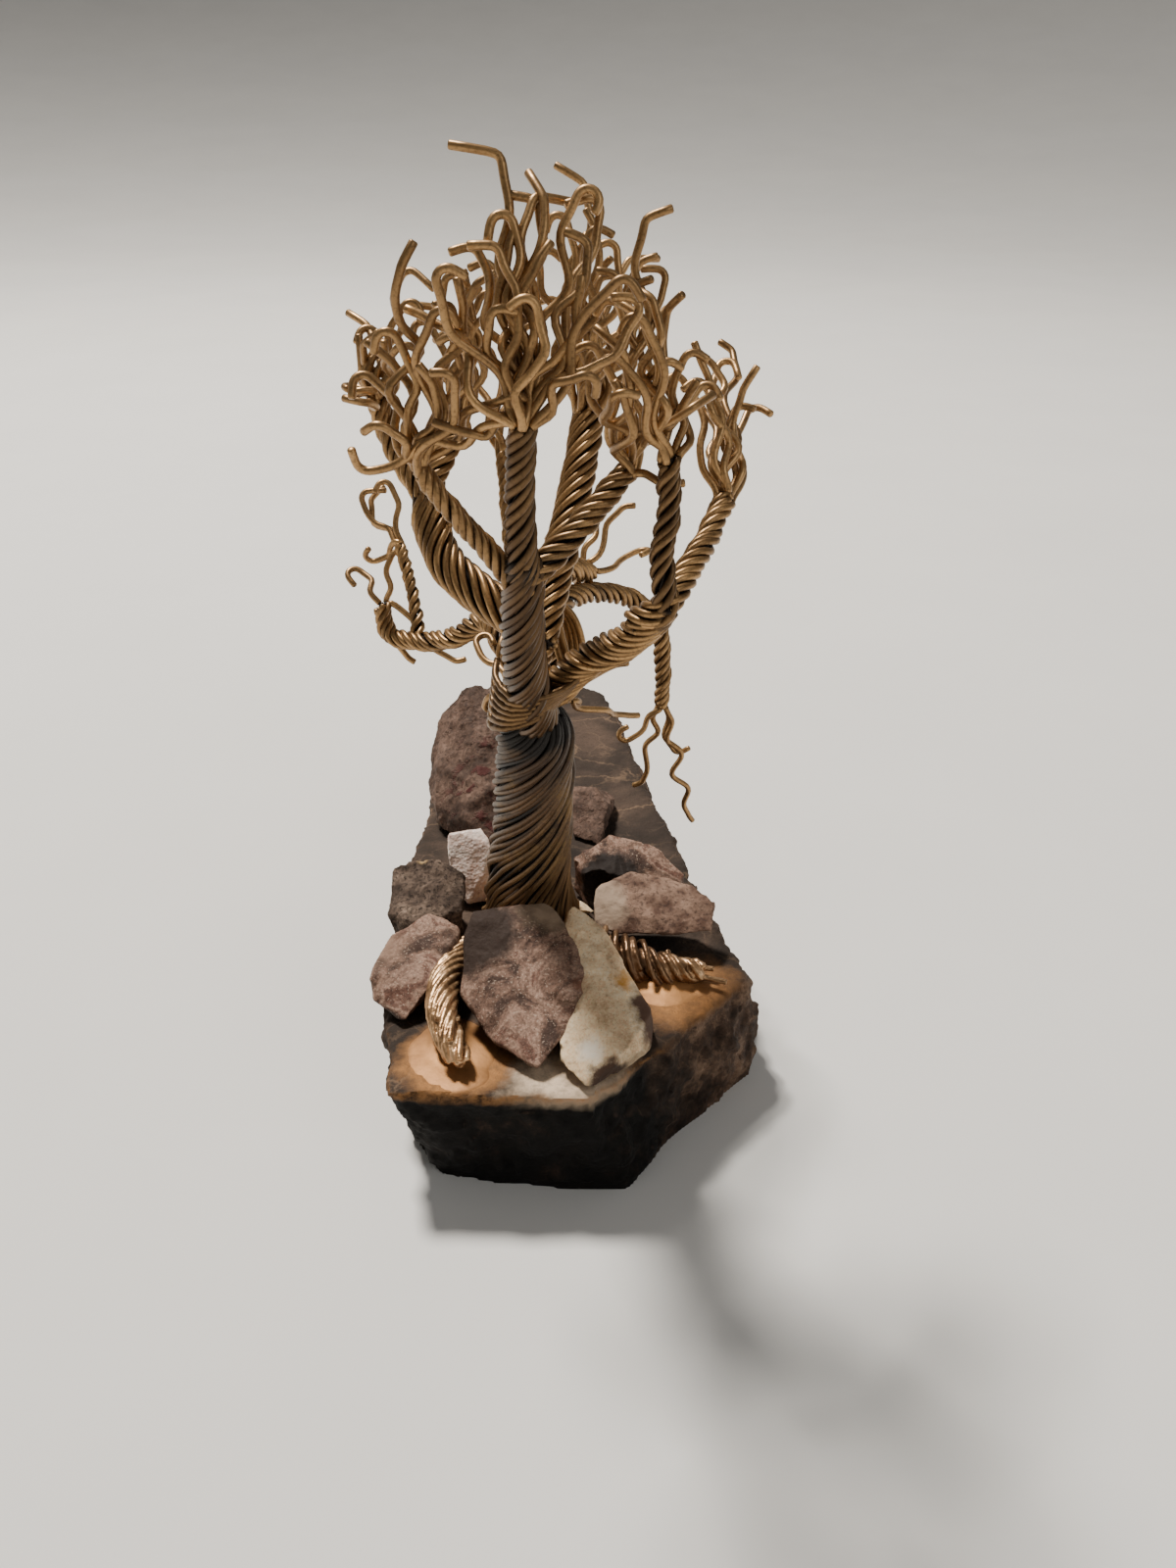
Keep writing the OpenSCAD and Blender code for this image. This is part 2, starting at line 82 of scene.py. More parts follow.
SPRIG = [[-20, -16, 56], [-21, -12, 61], [-23, -8, 67]]
REAR_RIGHT = [
    [-3, -36, 60], [-1, -29, 66], [6, -18, 63], [11, -14, 58], [12, -13, 51], [12, -12, 45]]
REAR_SHORT = [[-4, -40, 62], [-2, -29, 69], [2, -21, 67]]
FRONT_ROOT = [[-9, -27, 19], [-15, -37, 20], [-16, -45, 20], [-15, -50, 19], [-13, -55, 18]]
RIGHT_ROOT = [[-1, -28, 19], [6, -33, 18.5], [11, -35, 18], [17, -36, 17.5]]
RIGHT_STUBS = [[[12, -36, 18], [16, -36.5, 17.6], [20, -37.5, 17.2]],
               [[12, -35, 18.5], [15, -35, 18.2], [18.5, -35.5, 17.8]]]
REAR_ROOT = [[-6, -17, 19], [-6, -11, 18], [-5, -6, 17.5]]

# ---- Twigs, one row for each wire: end x, y, z, wave height, lean in degrees, hook bend, tail ----
FRONT_ENDS = [
    [-5, -59, 114.5, 0.8, 180, 80, 3.6], [-2, -60, 111, 1, 180, 85, 1.6],
    [1, -60, 112, 1.1, 0, 200, 0.6], [3, -58.5, 110.5, 0.9, 200, 130, 2],
    [-10, -67, 106, 1.4, 0, 150, 1.2], [-4, -62, 110, 1.2, 180, 170, 1.4],
    [4, -66, 106, 1.3, 0, 120, 1.4], [-7, -60, 107.5, 1.1, 180, 100, 1.4],
    [6, -63, 103, 1.4, 180, 140, 1.4], [-2, -67, 104, 1.5, 180, 140, 1],
    [2, -63, 108, 1.3, 180, 90, 1.4], [-6, -66, 103, 1.5, 0, 120, 1.2],
    [1, -68, 99, 1.5, 0, 150, 1], [-17, -62, 90, 1, 180, 110, 1.6]]
FRONT_LEFT_ENDS = [
    [-11, -64, 103, 1.6, 0, 150, 1], [-14, -62, 101, 1.3, 180, 160, 1.2],
    [-17, -58, 97, 1.4, 180, 150, 1.2], [-8, -62, 99, 1.2, 90, 120, 1],
    [-9, -66, 98, 1.4, 180, 120, 1], [-15, -64, 94, 1.2, 180, 110, 1.2],
    [-5, -66, 97, 1.5, 0, 100, 1.2]]
FRONT_RIGHT_ENDS = [
    [10, -55, 87, 0.4, 0, 20, 0.8], [8, -58, 98, 1.5, 0, 120, 1],
    [5, -52, 102, 1.4, 180, 150, 1], [7, -50, 109, 1.2, 0, 70, 2],
    [3, -56, 99, 1.3, 180, 110, 1.2], [4, -62, 96, 1.5, 0, 140, 1],
    [9, -52, 93, 1.2, 180, 120, 1], [2, -51, 97, 1.2, 0, 130, 1]]
REAR_LEADER_ENDS = [
    [7, -36, 104, 1.2, 0, 60, 1.4], [5, -34, 105, 1.3, 180, 130, 1.4],
    [0, -36, 108, 1.2, 180, 160, 1], [10, -32, 102, 1.1, 180, 120, 1.6],
    [-3, -33, 104, 1.4, 0, 150, 1], [4, -28, 100, 1.3, 90, 140, 1],
    [-1, -27, 99, 1.2, 180, 110, 1.4], [8, -27, 97, 1.4, 180, 130, 1.2],
    [2, -40, 107, 1.3, 0, 120, 1.2], [5, -42, 103, 1.4, 180, 100, 1.4]]
THIN_ENDS = [
    [-8, -34, 95, 1, 180, 140, 1], [-5, -32, 97, 1.1, 0, 120, 1],
    [-10, -33, 92, 0.9, 180, 160, 0.8]]
LEFT_OUTER_ENDS = [
    [-22.5, -31, 91, 1.1, 180, 190, 0.8], [-20, -34, 97, 1.2, 180, 160, 1],
    [-17, -36, 100, 1.2, 0, 170, 1], [-18, -28, 102, 1.3, 0, 130, 3],
    [-22, -40, 92, 1.2, 0, 150, 1.4], [-20, -43, 92, 1, 180, 120, 1.2],
    [-17, -43, 97, 1.3, 0, 140, 1]]
LEFT_INNER_ENDS = [
    [-12, -42, 103, 1.3, 0, 150, 1], [-14, -36, 98, 1.2, 180, 160, 1],
    [-9, -38, 101, 1.4, 0, 120, 1.4], [-12, -31, 96, 1.2, 180, 140, 1],
    [-7, -43, 104, 1.3, 180, 130, 1.2], [-10, -46, 98, 1.4, 180, 140, 1]]
RIGHT_NEAR_ENDS = [
    [10.5, -55, 98, 1.2, 0, 120, 1], [7, -60, 102, 1.3, 180, 150, 1],
    [12, -53, 95, 1.2, 0, 150, 1], [5, -61, 99, 1.2, 180, 130, 1.2],
    [8, -50, 102, 1.3, 180, 100, 1.6]]
RIGHT_FAR_ENDS = [
    [16, -30, 93, 1.2, 0, 170, 2], [18, -27, 94, 1.2, 180, 60, 1.4],
    [19, -34, 89, 1.1, 0, 130, 1.4], [14, -35, 90, 1.2, 180, 150, 1],
    [14, -41, 93, 1.3, 180, 120, 1.2], [17, -39, 90, 1.2, 0, 110, 1],
    [12, -38, 93, 1.2, 180, 160, 0.8]]
LOW_LEFT_ENDS = [
    [-28, -9, 63, 0.9, 180, 190, 1.4], [-24, -9, 65, 0.9, 0, 160, 1],
    [-22, -14, 53, 0.4, 0, 30, 0.8], [-16, -15, 53, 0.8, 0, 60, 1]]
SPRIG_ENDS = [
    [-28, -4, 71, 0.9, 0, 130, 2.4], [-24, -4, 73, 0.8, 180, 150, 1],
    [-26, -7, 64, 0.8, 180, 170, 1]]
REAR_RIGHT_ENDS = [
    [10, -7, 31, 0.9, 180, 60, 1], [17, -5, 24, 1, 0, 20, 1],
    [8, -12, 40, 0.8, 180, 200, 1], [14, -9, 37, 0.9, 0, 120, 1]]
REAR_SHORT_ENDS = [
    [6, -18, 74, 0.9, 0, 60, 1], [3, -17, 72, 0.8, 180, 150, 1],
    [8, -16, 68, 0.9, 0, 190, 1], [-1, -16, 70, 0.8, 180, 140, 1]]
LEFT_CURL_START = [-7, -38, 60]
LEFT_CURL_ENDS = [[-11, -33, 62, 0.8, 0, 200, 1], [-10, -36, 56, 0.7, 0, 180, 0.8]]
RIGHT_CURL_START = [-2, -36, 57]
RIGHT_CURL_ENDS = [[7, -24, 49, 0.9, 0, 30, 1.4], [5, -27, 57, 0.5, 0, 70, 1]]

# ---- Wires at the crotch ----
# The wrap's wires lie between a low one and a high one, and end inside the right arm
WRAP_WIRES = 7
WRAP_LOW = [
    [-9, -38, 56], [-9, -42, 56], [-7, -45, 57], [-4, -45, 58], [-1, -44, 60], [1, -44, 62],
    [3, -46, 65]]
WRAP_HIGH = [
    [-8, -42, 64], [-8, -45, 63], [-6, -48, 62], [-3, -48, 62], [0, -47, 63], [3, -48, 66],
    [5, -50, 68]]
# The arch's wires lie one behind another, each a little further in and back than the last
ARCH_WIRES = 5
ARCH_MIDDLE = [-1.5, -37, 62]
ARCH_WIDE_R = 3
ARCH_HIGH_R = 6.5
ARCH_INWARD = 0.6
ARCH_BACKWARD = 0.7
RISERS = [[[-4, -44, 72], [-2.5, -41.5, 69.5], [-1.3, -42.3, 65], [0, -44.5, 62]],
          [[-3.2, -43.4, 72], [-1.7, -41, 69.5], [-0.5, -42, 65], [0.6, -44, 62.5]]]


# ---- Curves, all in mm ----
def smooth(route, steps=10):
    """The smooth curve through a route's points."""
    pts = [Vector(p) for p in route]
    last = len(pts) - 1
    line = []
    for i in range(last):
        a, b, c, d = pts[max(i - 1, 0)], pts[i], pts[i + 1], pts[min(i + 2, last)]
        for s in range(steps):
            t = s / steps
            line.append((2 * b + (c - a) * t + (2 * a - 5 * b + 4 * c - d) * t * t
                         + (3 * b - a - 3 * c + d) * t ** 3) / 2)
    return line + [pts[last]]


def even(line, gap):
    """The same line with its points an even gap apart."""
    reach = [0.0]
    for a, b in zip(line, line[1:]):
        reach.append(reach[-1] + (b - a).length)
    count = max(2, round(reach[-1] / gap))
    out, k = [], 0
    for i in range(count + 1):
        s = reach[-1] * i / count
        while k < len(line) - 2 and reach[k + 1] < s:
            k += 1
        span = max(reach[k + 1] - reach[k], 1e-6)
        out.append(line[k].lerp(line[k + 1], (s - reach[k]) / span))
    return out


def carried_frames(line):
    """At each point: two directions across the line that don't turn about it."""
    last = len(line) - 1
    frames, n = [], None
    for i in range(last + 1):
        t = (line[min(i + 1, last)] - line[max(i - 1, 0)]).normalized()
        if n is None:
            n = t.cross(Vector((1, 0, 0)) if abs(t.x) < 0.7 else Vector((0, 1, 0)))
        n = (n - n.dot(t) * t).normalized()
        frames.append((n, t.cross(n)))
    return frames


class Rope:
    """Wires laid round a middle line in layers, all twisted right-handed together."""

    def __init__(self, route, r0, r1, lay=BRANCH_LAY, end_lay=None, seed=1, flare=0.0, gap=0.55,
                 uneven=0.1, ragged=0.8, close=0.0):
        dice = random.Random(seed)
        self.line = even(smooth(route), gap)
        frames = carried_frames(self.line)
        last = len(self.line) - 1
        added_lay = (end_lay or lay) - lay
        slopes = [math.tan(math.radians(lay + added_lay * i / last)) for i in range(last + 1)]
        radii = [self.radius_at(i * gap, last * gap, r0, r1, flare, close) for i in range(last + 1)]
        mean = (r0 + r1) / 2 - WIRE_R
        turn = [0.0]
        for i in range(last):
            turn.append(turn[-1] + slopes[i] * gap / max(radii[i] - WIRE_R, mean * 0.8))
        self.wires = []
        depth = 0
        while mean - depth > 0.2:
            layer_r = mean - depth
            pitch = math.atan(math.tan(math.radians(lay)) * layer_r / mean)
            count = max(3, int(2 * math.pi * layer_r * math.cos(pitch) / (2 * WIRE_R) + 0.3))
            for k in range(count):
                start = 2 * math.pi * (k + dice.uniform(-1, 1) * uneven) / count + depth
                sway, phase = dice.uniform(0.3, 1) * uneven, dice.uniform(0, 6.3)
                swell = dice.uniform(-uneven, uneven)
                end = last if depth else last - int(dice.uniform(0, ragged) / gap)
                wire = []
                for i in range(end + 1):
                    n, b = frames[i]
                    a = start + turn[i] + 1.5 * sway * math.sin(i * gap * 0.35 + phase) / layer_r
                    r = radii[i] - WIRE_R - depth + swell + sway * math.sin(i * gap * 0.5 + phase)
                    wire.append(self.line[i] + max(r, 0.05) * (math.cos(a) * n + math.sin(a) * b))
                self.wires.append(wire)
            depth += 1.6 * WIRE_R
            if depth > 2 * WIRE_R and mean > 3:
                break
        self.tip = [w[-1] for w in self.wires]
        self.along = [(w[-1] - w[-2]).normalized() for w in self.wires]

    def radius_at(self, reach, length, r0, r1, flare, close):
        """The rope's radius: wider at a flared foot, and drawn in over its last few millimetres."""
        drawn_in = max(0.0, 1 - (length - reach) / 4)
        open_r = r0 + (r1 - r0) * reach / length + flare * math.exp(-reach / 2.5)
        return open_r * (1 - close * drawn_in ** 2)


def twig_line(start, along, row, dice):
    """One twig: out of its rope, a wavy line to its end, then a hook and a short straight tail."""
    end = Vector(row[:3])
    reach = (end - start).length
    d = (end - start) / reach
    lean = Vector((math.cos(math.radians(row[4])), math.sin(math.radians(row[4])), 0.2))
    side = (lean - lean.dot(d) * d).normalized()
    bow = d.cross(side)
    waves = max(1, round(reach / WAVE_LENGTH))
    steps = max(12, round(reach / 0.6))
    kink, kink_at = dice.uniform(-0.35, 0.35), dice.uniform(2.5, 4)
    line = []
    for i in range(steps + 1):
        t = i / steps
        swell = (1 - t ** 4) * (1 - (1 - t) ** 4)
        wave = math.sin(2 * math.pi * waves * t) + kink * math.sin(2 * math.pi * kink_at * t)
        p = start.lerp(end, t) + row[3] * swell * (wave * side + 0.6 * math.sin(math.pi * t) * bow)
        leave = max(0.0, 1 - i * reach / steps / 3)
        line.append(p.lerp(start + along * (i * reach / steps), 0.8 * leave * leave))
    bend = math.radians(row[5])
    turns = max(2, math.ceil(row[5] / 20))
    for i in range(1, turns + 1):
        a = bend * i / turns
        line.append(end + HOOK_R * (math.sin(a) * d + (1 - math.cos(a)) * side))
    out = math.cos(bend) * d + math.sin(bend) * side
    line += [line[-1] + out * row[6] * f for f in (0.5, 1)]
    for _ in range(2):
        inner = [(a + 2 * b + c) / 4 for a, b, c in zip(line, line[1:], line[2:])]
        line = [line[0]] + inner + [line[-1]]
    return line


def extra_rows(rows, count, dice):
    """Rows for more twigs, each between two of the given ones, with a gentler hook."""
    extra = []
    for _ in range(count):
        a, b = dice.sample(rows, 2)
        t = dice.uniform(0.3, 0.7)
        place = [p + (q - p) * t + dice.uniform(-2, 2) for p, q in zip(a[:3], b[:3])]
        place[2] += dice.uniform(-1, 4)
        extra.append(place + [dice.uniform(1.2, 2.2), dice.choice((0, 180)) + dice.uniform(-60, 60),
                              dice.uniform(10, 90), dice.uniform(1.2, 3)])
    return extra


# ---- Making wire ----
def pick_nothing():
    """Leaves edit mode and deselects everything."""
    if bpy.context.object and bpy.context.object.mode != "OBJECT":
        bpy.ops.object.mode_set(mode="OBJECT")
    bpy.ops.object.select_all(action="DESELECT")


def pick(obj):
    """Makes one object the only one selected, and the active one."""
    pick_nothing()
    obj.select_set(True)
    bpy.context.view_layer.objects.active = obj


def close_doubles(obj):
    """Merges vertices in the same place and turns all faces outward."""
    pick(obj)
    bpy.ops.object.mode_set(mode="EDIT")
    bpy.ops.mesh.select_all(action="SELECT")
    bpy.ops.mesh.remove_doubles(threshold=SAME_PLACE)
    bpy.ops.mesh.normals_make_consistent(inside=False)
    bpy.ops.object.mode_set(mode="OBJECT")


def draw_wires(name, lines, radius=WIRE_R, roundness=3, seed=5):
    """Round wires along lines, with cut ends, and a tone for each wire."""
    pick_nothing()
    bpy.ops.curve.primitive_nurbs_path_add(radius=MM, location=(0, 0, 0))
    piece = bpy.context.object
    piece.name = name
    curve = piece.data
    curve.splines.clear()
    curve.bevel_depth = radius * MM
    curve.bevel_resolution = roundness
    curve.use_fill_caps = True
    for line in lines:
        first = (line[1] - line[0]).normalized()
        last = (line[-1] - line[-2]).normalized()
        body = [line[0] + first * CHAMFER] + line[1:-1] + [line[-1] - last * CHAMFER]
        spline = curve.splines.new("POLY")
        spline.points.add(len(body) + 1)
        for point, place in zip(spline.points, [line[0]] + body + [line[-1]]):
            point.co = (*(place * MM), 1)
        spline.points[0].radius = spline.points[-1].radius = 0.7
    bpy.ops.object.convert(target="MESH")
    close_doubles(piece)
    tone_of_wires(piece, lines, seed)
    bpy.ops.object.shade_smooth_by_angle(angle=math.radians(50))
    return piece


def tone_of_wires(piece, lines, seed):
    """Writes each wire's own tone on its vertices."""
    dice = random.Random(seed)
    tones = [dice.random() for _ in lines]
    tree = kdtree.KDTree(sum(len(line) for line in lines))
    owner = []
    for number, line in enumerate(lines):
        for place in line:
            tree.insert(place * MM, len(owner))
            owner.append(number)
    tree.balance()
    mark = piece.data.attributes.new("tone", "FLOAT", "POINT")
    for vertex in piece.data.vertices:
        mark.data[vertex.index].value = tones[owner[tree.find(vertex.co)[1]]]


def wear_and_gap_shade_of_rope(piece, rope_line, radius):
    """Writes how far out of its rope each vertex lies: 0 in the gaps, 1 on the outside. The wire finishes
    paint shade into the gaps from it.
    """
    tree = kdtree.KDTree(len(rope_line))
    for number, place in enumerate(rope_line):
        tree.insert(place * MM, number)
    tree.balance()
    last = len(rope_line) - 1
    mark = piece.data.attributes.new("wear_and_gap_shade", "FLOAT", "POINT")
    for vertex in piece.data.vertices:
        _, number, distance = tree.find(vertex.co)
        outer = radius(number / last) * MM
        height = (distance - outer + 1.1 * WIRE_R * MM) / (WIRE_R * MM)
        mark.data[vertex.index].value = min(1, max(0, height))


def spread(piece, name, amount):
    """Writes one amount on every vertex."""
    mark = piece.data.attributes.new(name, "FLOAT", "POINT")
    for entry in mark.data:
        entry.value = amount


# ---- Stone and glue ----
def copy_of(node, name):
    """The CAD node's mesh as a closed mesh of its own, ready to shape."""
    pick_nothing()
    piece = bpy.data.objects.new(name, frame["nodes"][node].data.copy())
    bpy.context.scene.collection.objects.link(piece)
    piece.data.materials.clear()
    close_doubles(piece)
    return piece


def apply_step(piece, kind, **settings):
    """Adds a modifier to a piece and applies it."""
    pick(piece)
    bpy.ops.object.modifier_add(type=kind)
    step = piece.modifiers[-1]
    for key, value in settings.items():
        setattr(step, key, value)
    bpy.ops.object.modifier_apply(modifier=step.name)


def remesh(piece, cell):
    """Rebuilds a piece as one closed skin of even faces, the size of a cell in mm."""
    apply_step(piece, "REMESH", mode="VOXEL", voxel_size=cell * MM)


def roughen(piece, grain, height, group="", depth=3, hard=False):
    """Pushes the surface in and out by a noise, its grain and height in mm."""
    texture = bpy.data.textures.new(f"{piece.name}_{grain}", "CLOUDS")
    texture.noise_scale = grain * MM
    texture.noise_depth = depth
    texture.noise_type = "HARD_NOISE" if hard else "SOFT_NOISE"
    apply_step(piece, "DISPLACE", texture=texture, texture_coords="LOCAL",
               strength=height * MM, mid_level=0.5, vertex_group=group)


def strike_off(piece, way, depth):
    """Cuts a flat facet off a stone: it faces a way and takes off a depth in mm."""
    way = way.normalized()
    reach = max(vertex.co.dot(way) for vertex in piece.data.vertices)
    pick(piece)
    bpy.ops.object.mode_set(mode="EDIT")
    bpy.ops.mesh.select_all(action="SELECT")
    bpy.ops.mesh.bisect(plane_co=way * (reach - depth * MM), plane_no=way,
                        use_fill=True, clear_outer=True)
    bpy.ops.object.mode_set(mode="OBJECT")


def weigh(piece, name, amount):
    """Gives each vertex a weight, worked out from its place in mm and the way it faces."""
    group = piece.vertex_groups.new(name=name)
    for vertex in piece.data.vertices:
        group.add([vertex.index], amount(vertex.co / MM, vertex.normal), "REPLACE")


def strike(piece, strikes, depth, dice):
    """Knocks flat facets off a stone all round, each a random depth, in mm."""
    for _ in range(strikes):
        way = Vector((dice.gauss(0, 1), dice.gauss(0, 1), dice.gauss(0.2, 0.8)))
        strike_off(piece, way, dice.uniform(0.2, 1) * depth)


def broken_stone(node, strikes=4, depth=0.5, lump=0.4, cell=0.2, grit=0.09, hollow=None,
                 lobe=None):
    """A broken stone: struck facets, then smaller broken faces, then grit."""
    piece = copy_of(node, f"{node}_stone")
    strike(piece, strikes, depth, random.Random(node))
    if lobe:
        join(piece, [blob(*lobe)])
    if hollow:
        scoop_out(piece, hollow)
    remesh(piece, 0.35)
    roughen(piece, 5, lump * 1.6)
    roughen(piece, 1.8, lump, hard=True)
    apply_step(piece, "DECIMATE", ratio=0.04)
    remesh(piece, cell)
    roughen(piece, 1.6, grit * 2)
    roughen(piece, 0.5, grit, depth=1)
    pick(piece)
    bpy.ops.object.shade_smooth_by_angle(angle=math.radians(30))
    return piece


def scoop_out(piece, hollow):
    """Takes a hollow of a few rounded bites out of a stone."""
    tool = blob(*hollow[0])
    join(tool, [blob(place, size) for place, size in hollow[1:]])
    remesh(tool, 0.4)
    apply_step(piece, "BOOLEAN", operation="DIFFERENCE", object=tool, solver="EXACT")
    bpy.data.objects.remove(tool)


def rough_slab():
    """The slab: a flat top, broken sides and a level underside."""
    piece = copy_of("slab", "stone_slab")
    remesh(piece, 1.2)

    def on_the_sides(place, facing):
        if place.z < LEVEL_H:
            return 0
        if facing.z > 0.8:
            return 0.06
        return min(1, (place.z - LEVEL_H) / 2, 0.25 + (SLAB_H - place.z) / 3)

    weigh(piece, "broken", on_the_sides)
    roughen(piece, 9, 4, group="broken")
    roughen(piece, 3.5, 2.4, group="broken", hard=True)
    apply_step(piece, "DECIMATE", ratio=0.14)
    piece.vertex_groups.clear()
    remesh(piece, 0.5)

    def all_but_below(place, facing):
        return 0 if place.z < LEVEL_H else 0.3 if facing.z > 0.9 else 1

    weigh(piece, "grit", all_but_below)
    roughen(piece, 2, 0.7, group="grit", hard=True)
    roughen(piece, 0.8, 0.5, group="grit", depth=1)
    piece.vertex_groups.clear()
    lay_level(piece)
    bpy.ops.object.shade_smooth_by_angle(angle=math.radians(40))
    return piece


def lay_level(piece):
    """Presses what lies close to the ground flat onto it."""
    pick(piece)
    for vertex in piece.data.vertices:
        vertex.select = vertex.co.z < LEVEL_H * MM
    for edge in piece.data.edges:
        edge.select = all(piece.data.vertices[k].select for k in edge.vertices)
    for face in piece.data.polygons:
        face.select = all(piece.data.vertices[k].select for k in face.vertices)
    bpy.ops.object.mode_set(mode="EDIT")
    bpy.ops.mesh.select_mode(type="VERT")
    bpy.ops.transform.resize(value=(1, 1, 0), center_override=(0, 0, 0))
    bpy.ops.object.mode_set(mode="OBJECT")


def join(piece, others):
    """Makes other objects part of a piece."""
    pick(piece)
    for other in others:
        other.select_set(True)
    bpy.ops.object.join()


def blob(place, size):
    """A smooth lump, its place and its three half sizes in mm."""
    pick_nothing()
    bpy.ops.mesh.primitive_uv_sphere_add(segments=24, ring_count=12, radius=MM, location=(0, 0, 0))
    lump = bpy.context.object
    bpy.ops.object.mode_set(mode="EDIT")
    bpy.ops.transform.resize(value=size)
    bpy.ops.transform.translate(value=Vector(place) * MM)
    bpy.ops.object.mode_set(mode="OBJECT")
    return lump


def glue_pool(name, lumps):
    """A pool of paint and glue: low mounds that run together and sink into the slab at their edge."""
    piece = blob(*lumps[0])
    piece.name = name
    join(piece, [blob(place, size) for place, size in lumps[1:]])
    remesh(piece, 0.25)
    apply_step(piece, "SMOOTH", factor=0.5, iterations=30)
    roughen(piece, 3, 0.2, depth=1)
    pick(piece)
    bpy.ops.object.shade_smooth()
    return piece


def painted_root(name, rope, core_r, stubs=()):
    """A root: strands chopped at different lengths under a coat of paint. Stubs run on past it."""
    piece = draw_wires(name, rope.wires + list(stubs), roundness=2)
    core = draw_wires(f"{name}_core", [rope.line[:-4]], radius=core_r, roundness=4)
    join(piece, [core])
    remesh(piece, 0.12)
    apply_step(piece, "SMOOTH", factor=0.5, iterations=1)
    roughen(piece, 1.2, 0.2, depth=2)
    pick(piece)
    bpy.ops.object.shade_smooth()
    return piece


# ---- Finishes ----
def tint(red, green, blue):
    """A colour given as it looks, 0 to 255, as the shader wants it."""
    shares = [c / 255 for c in (red, green, blue)]
    return tuple(((c + 0.055) / 1.055) ** 2.4 if c > 0.04 else c / 12.92 for c in shares) + (1,)


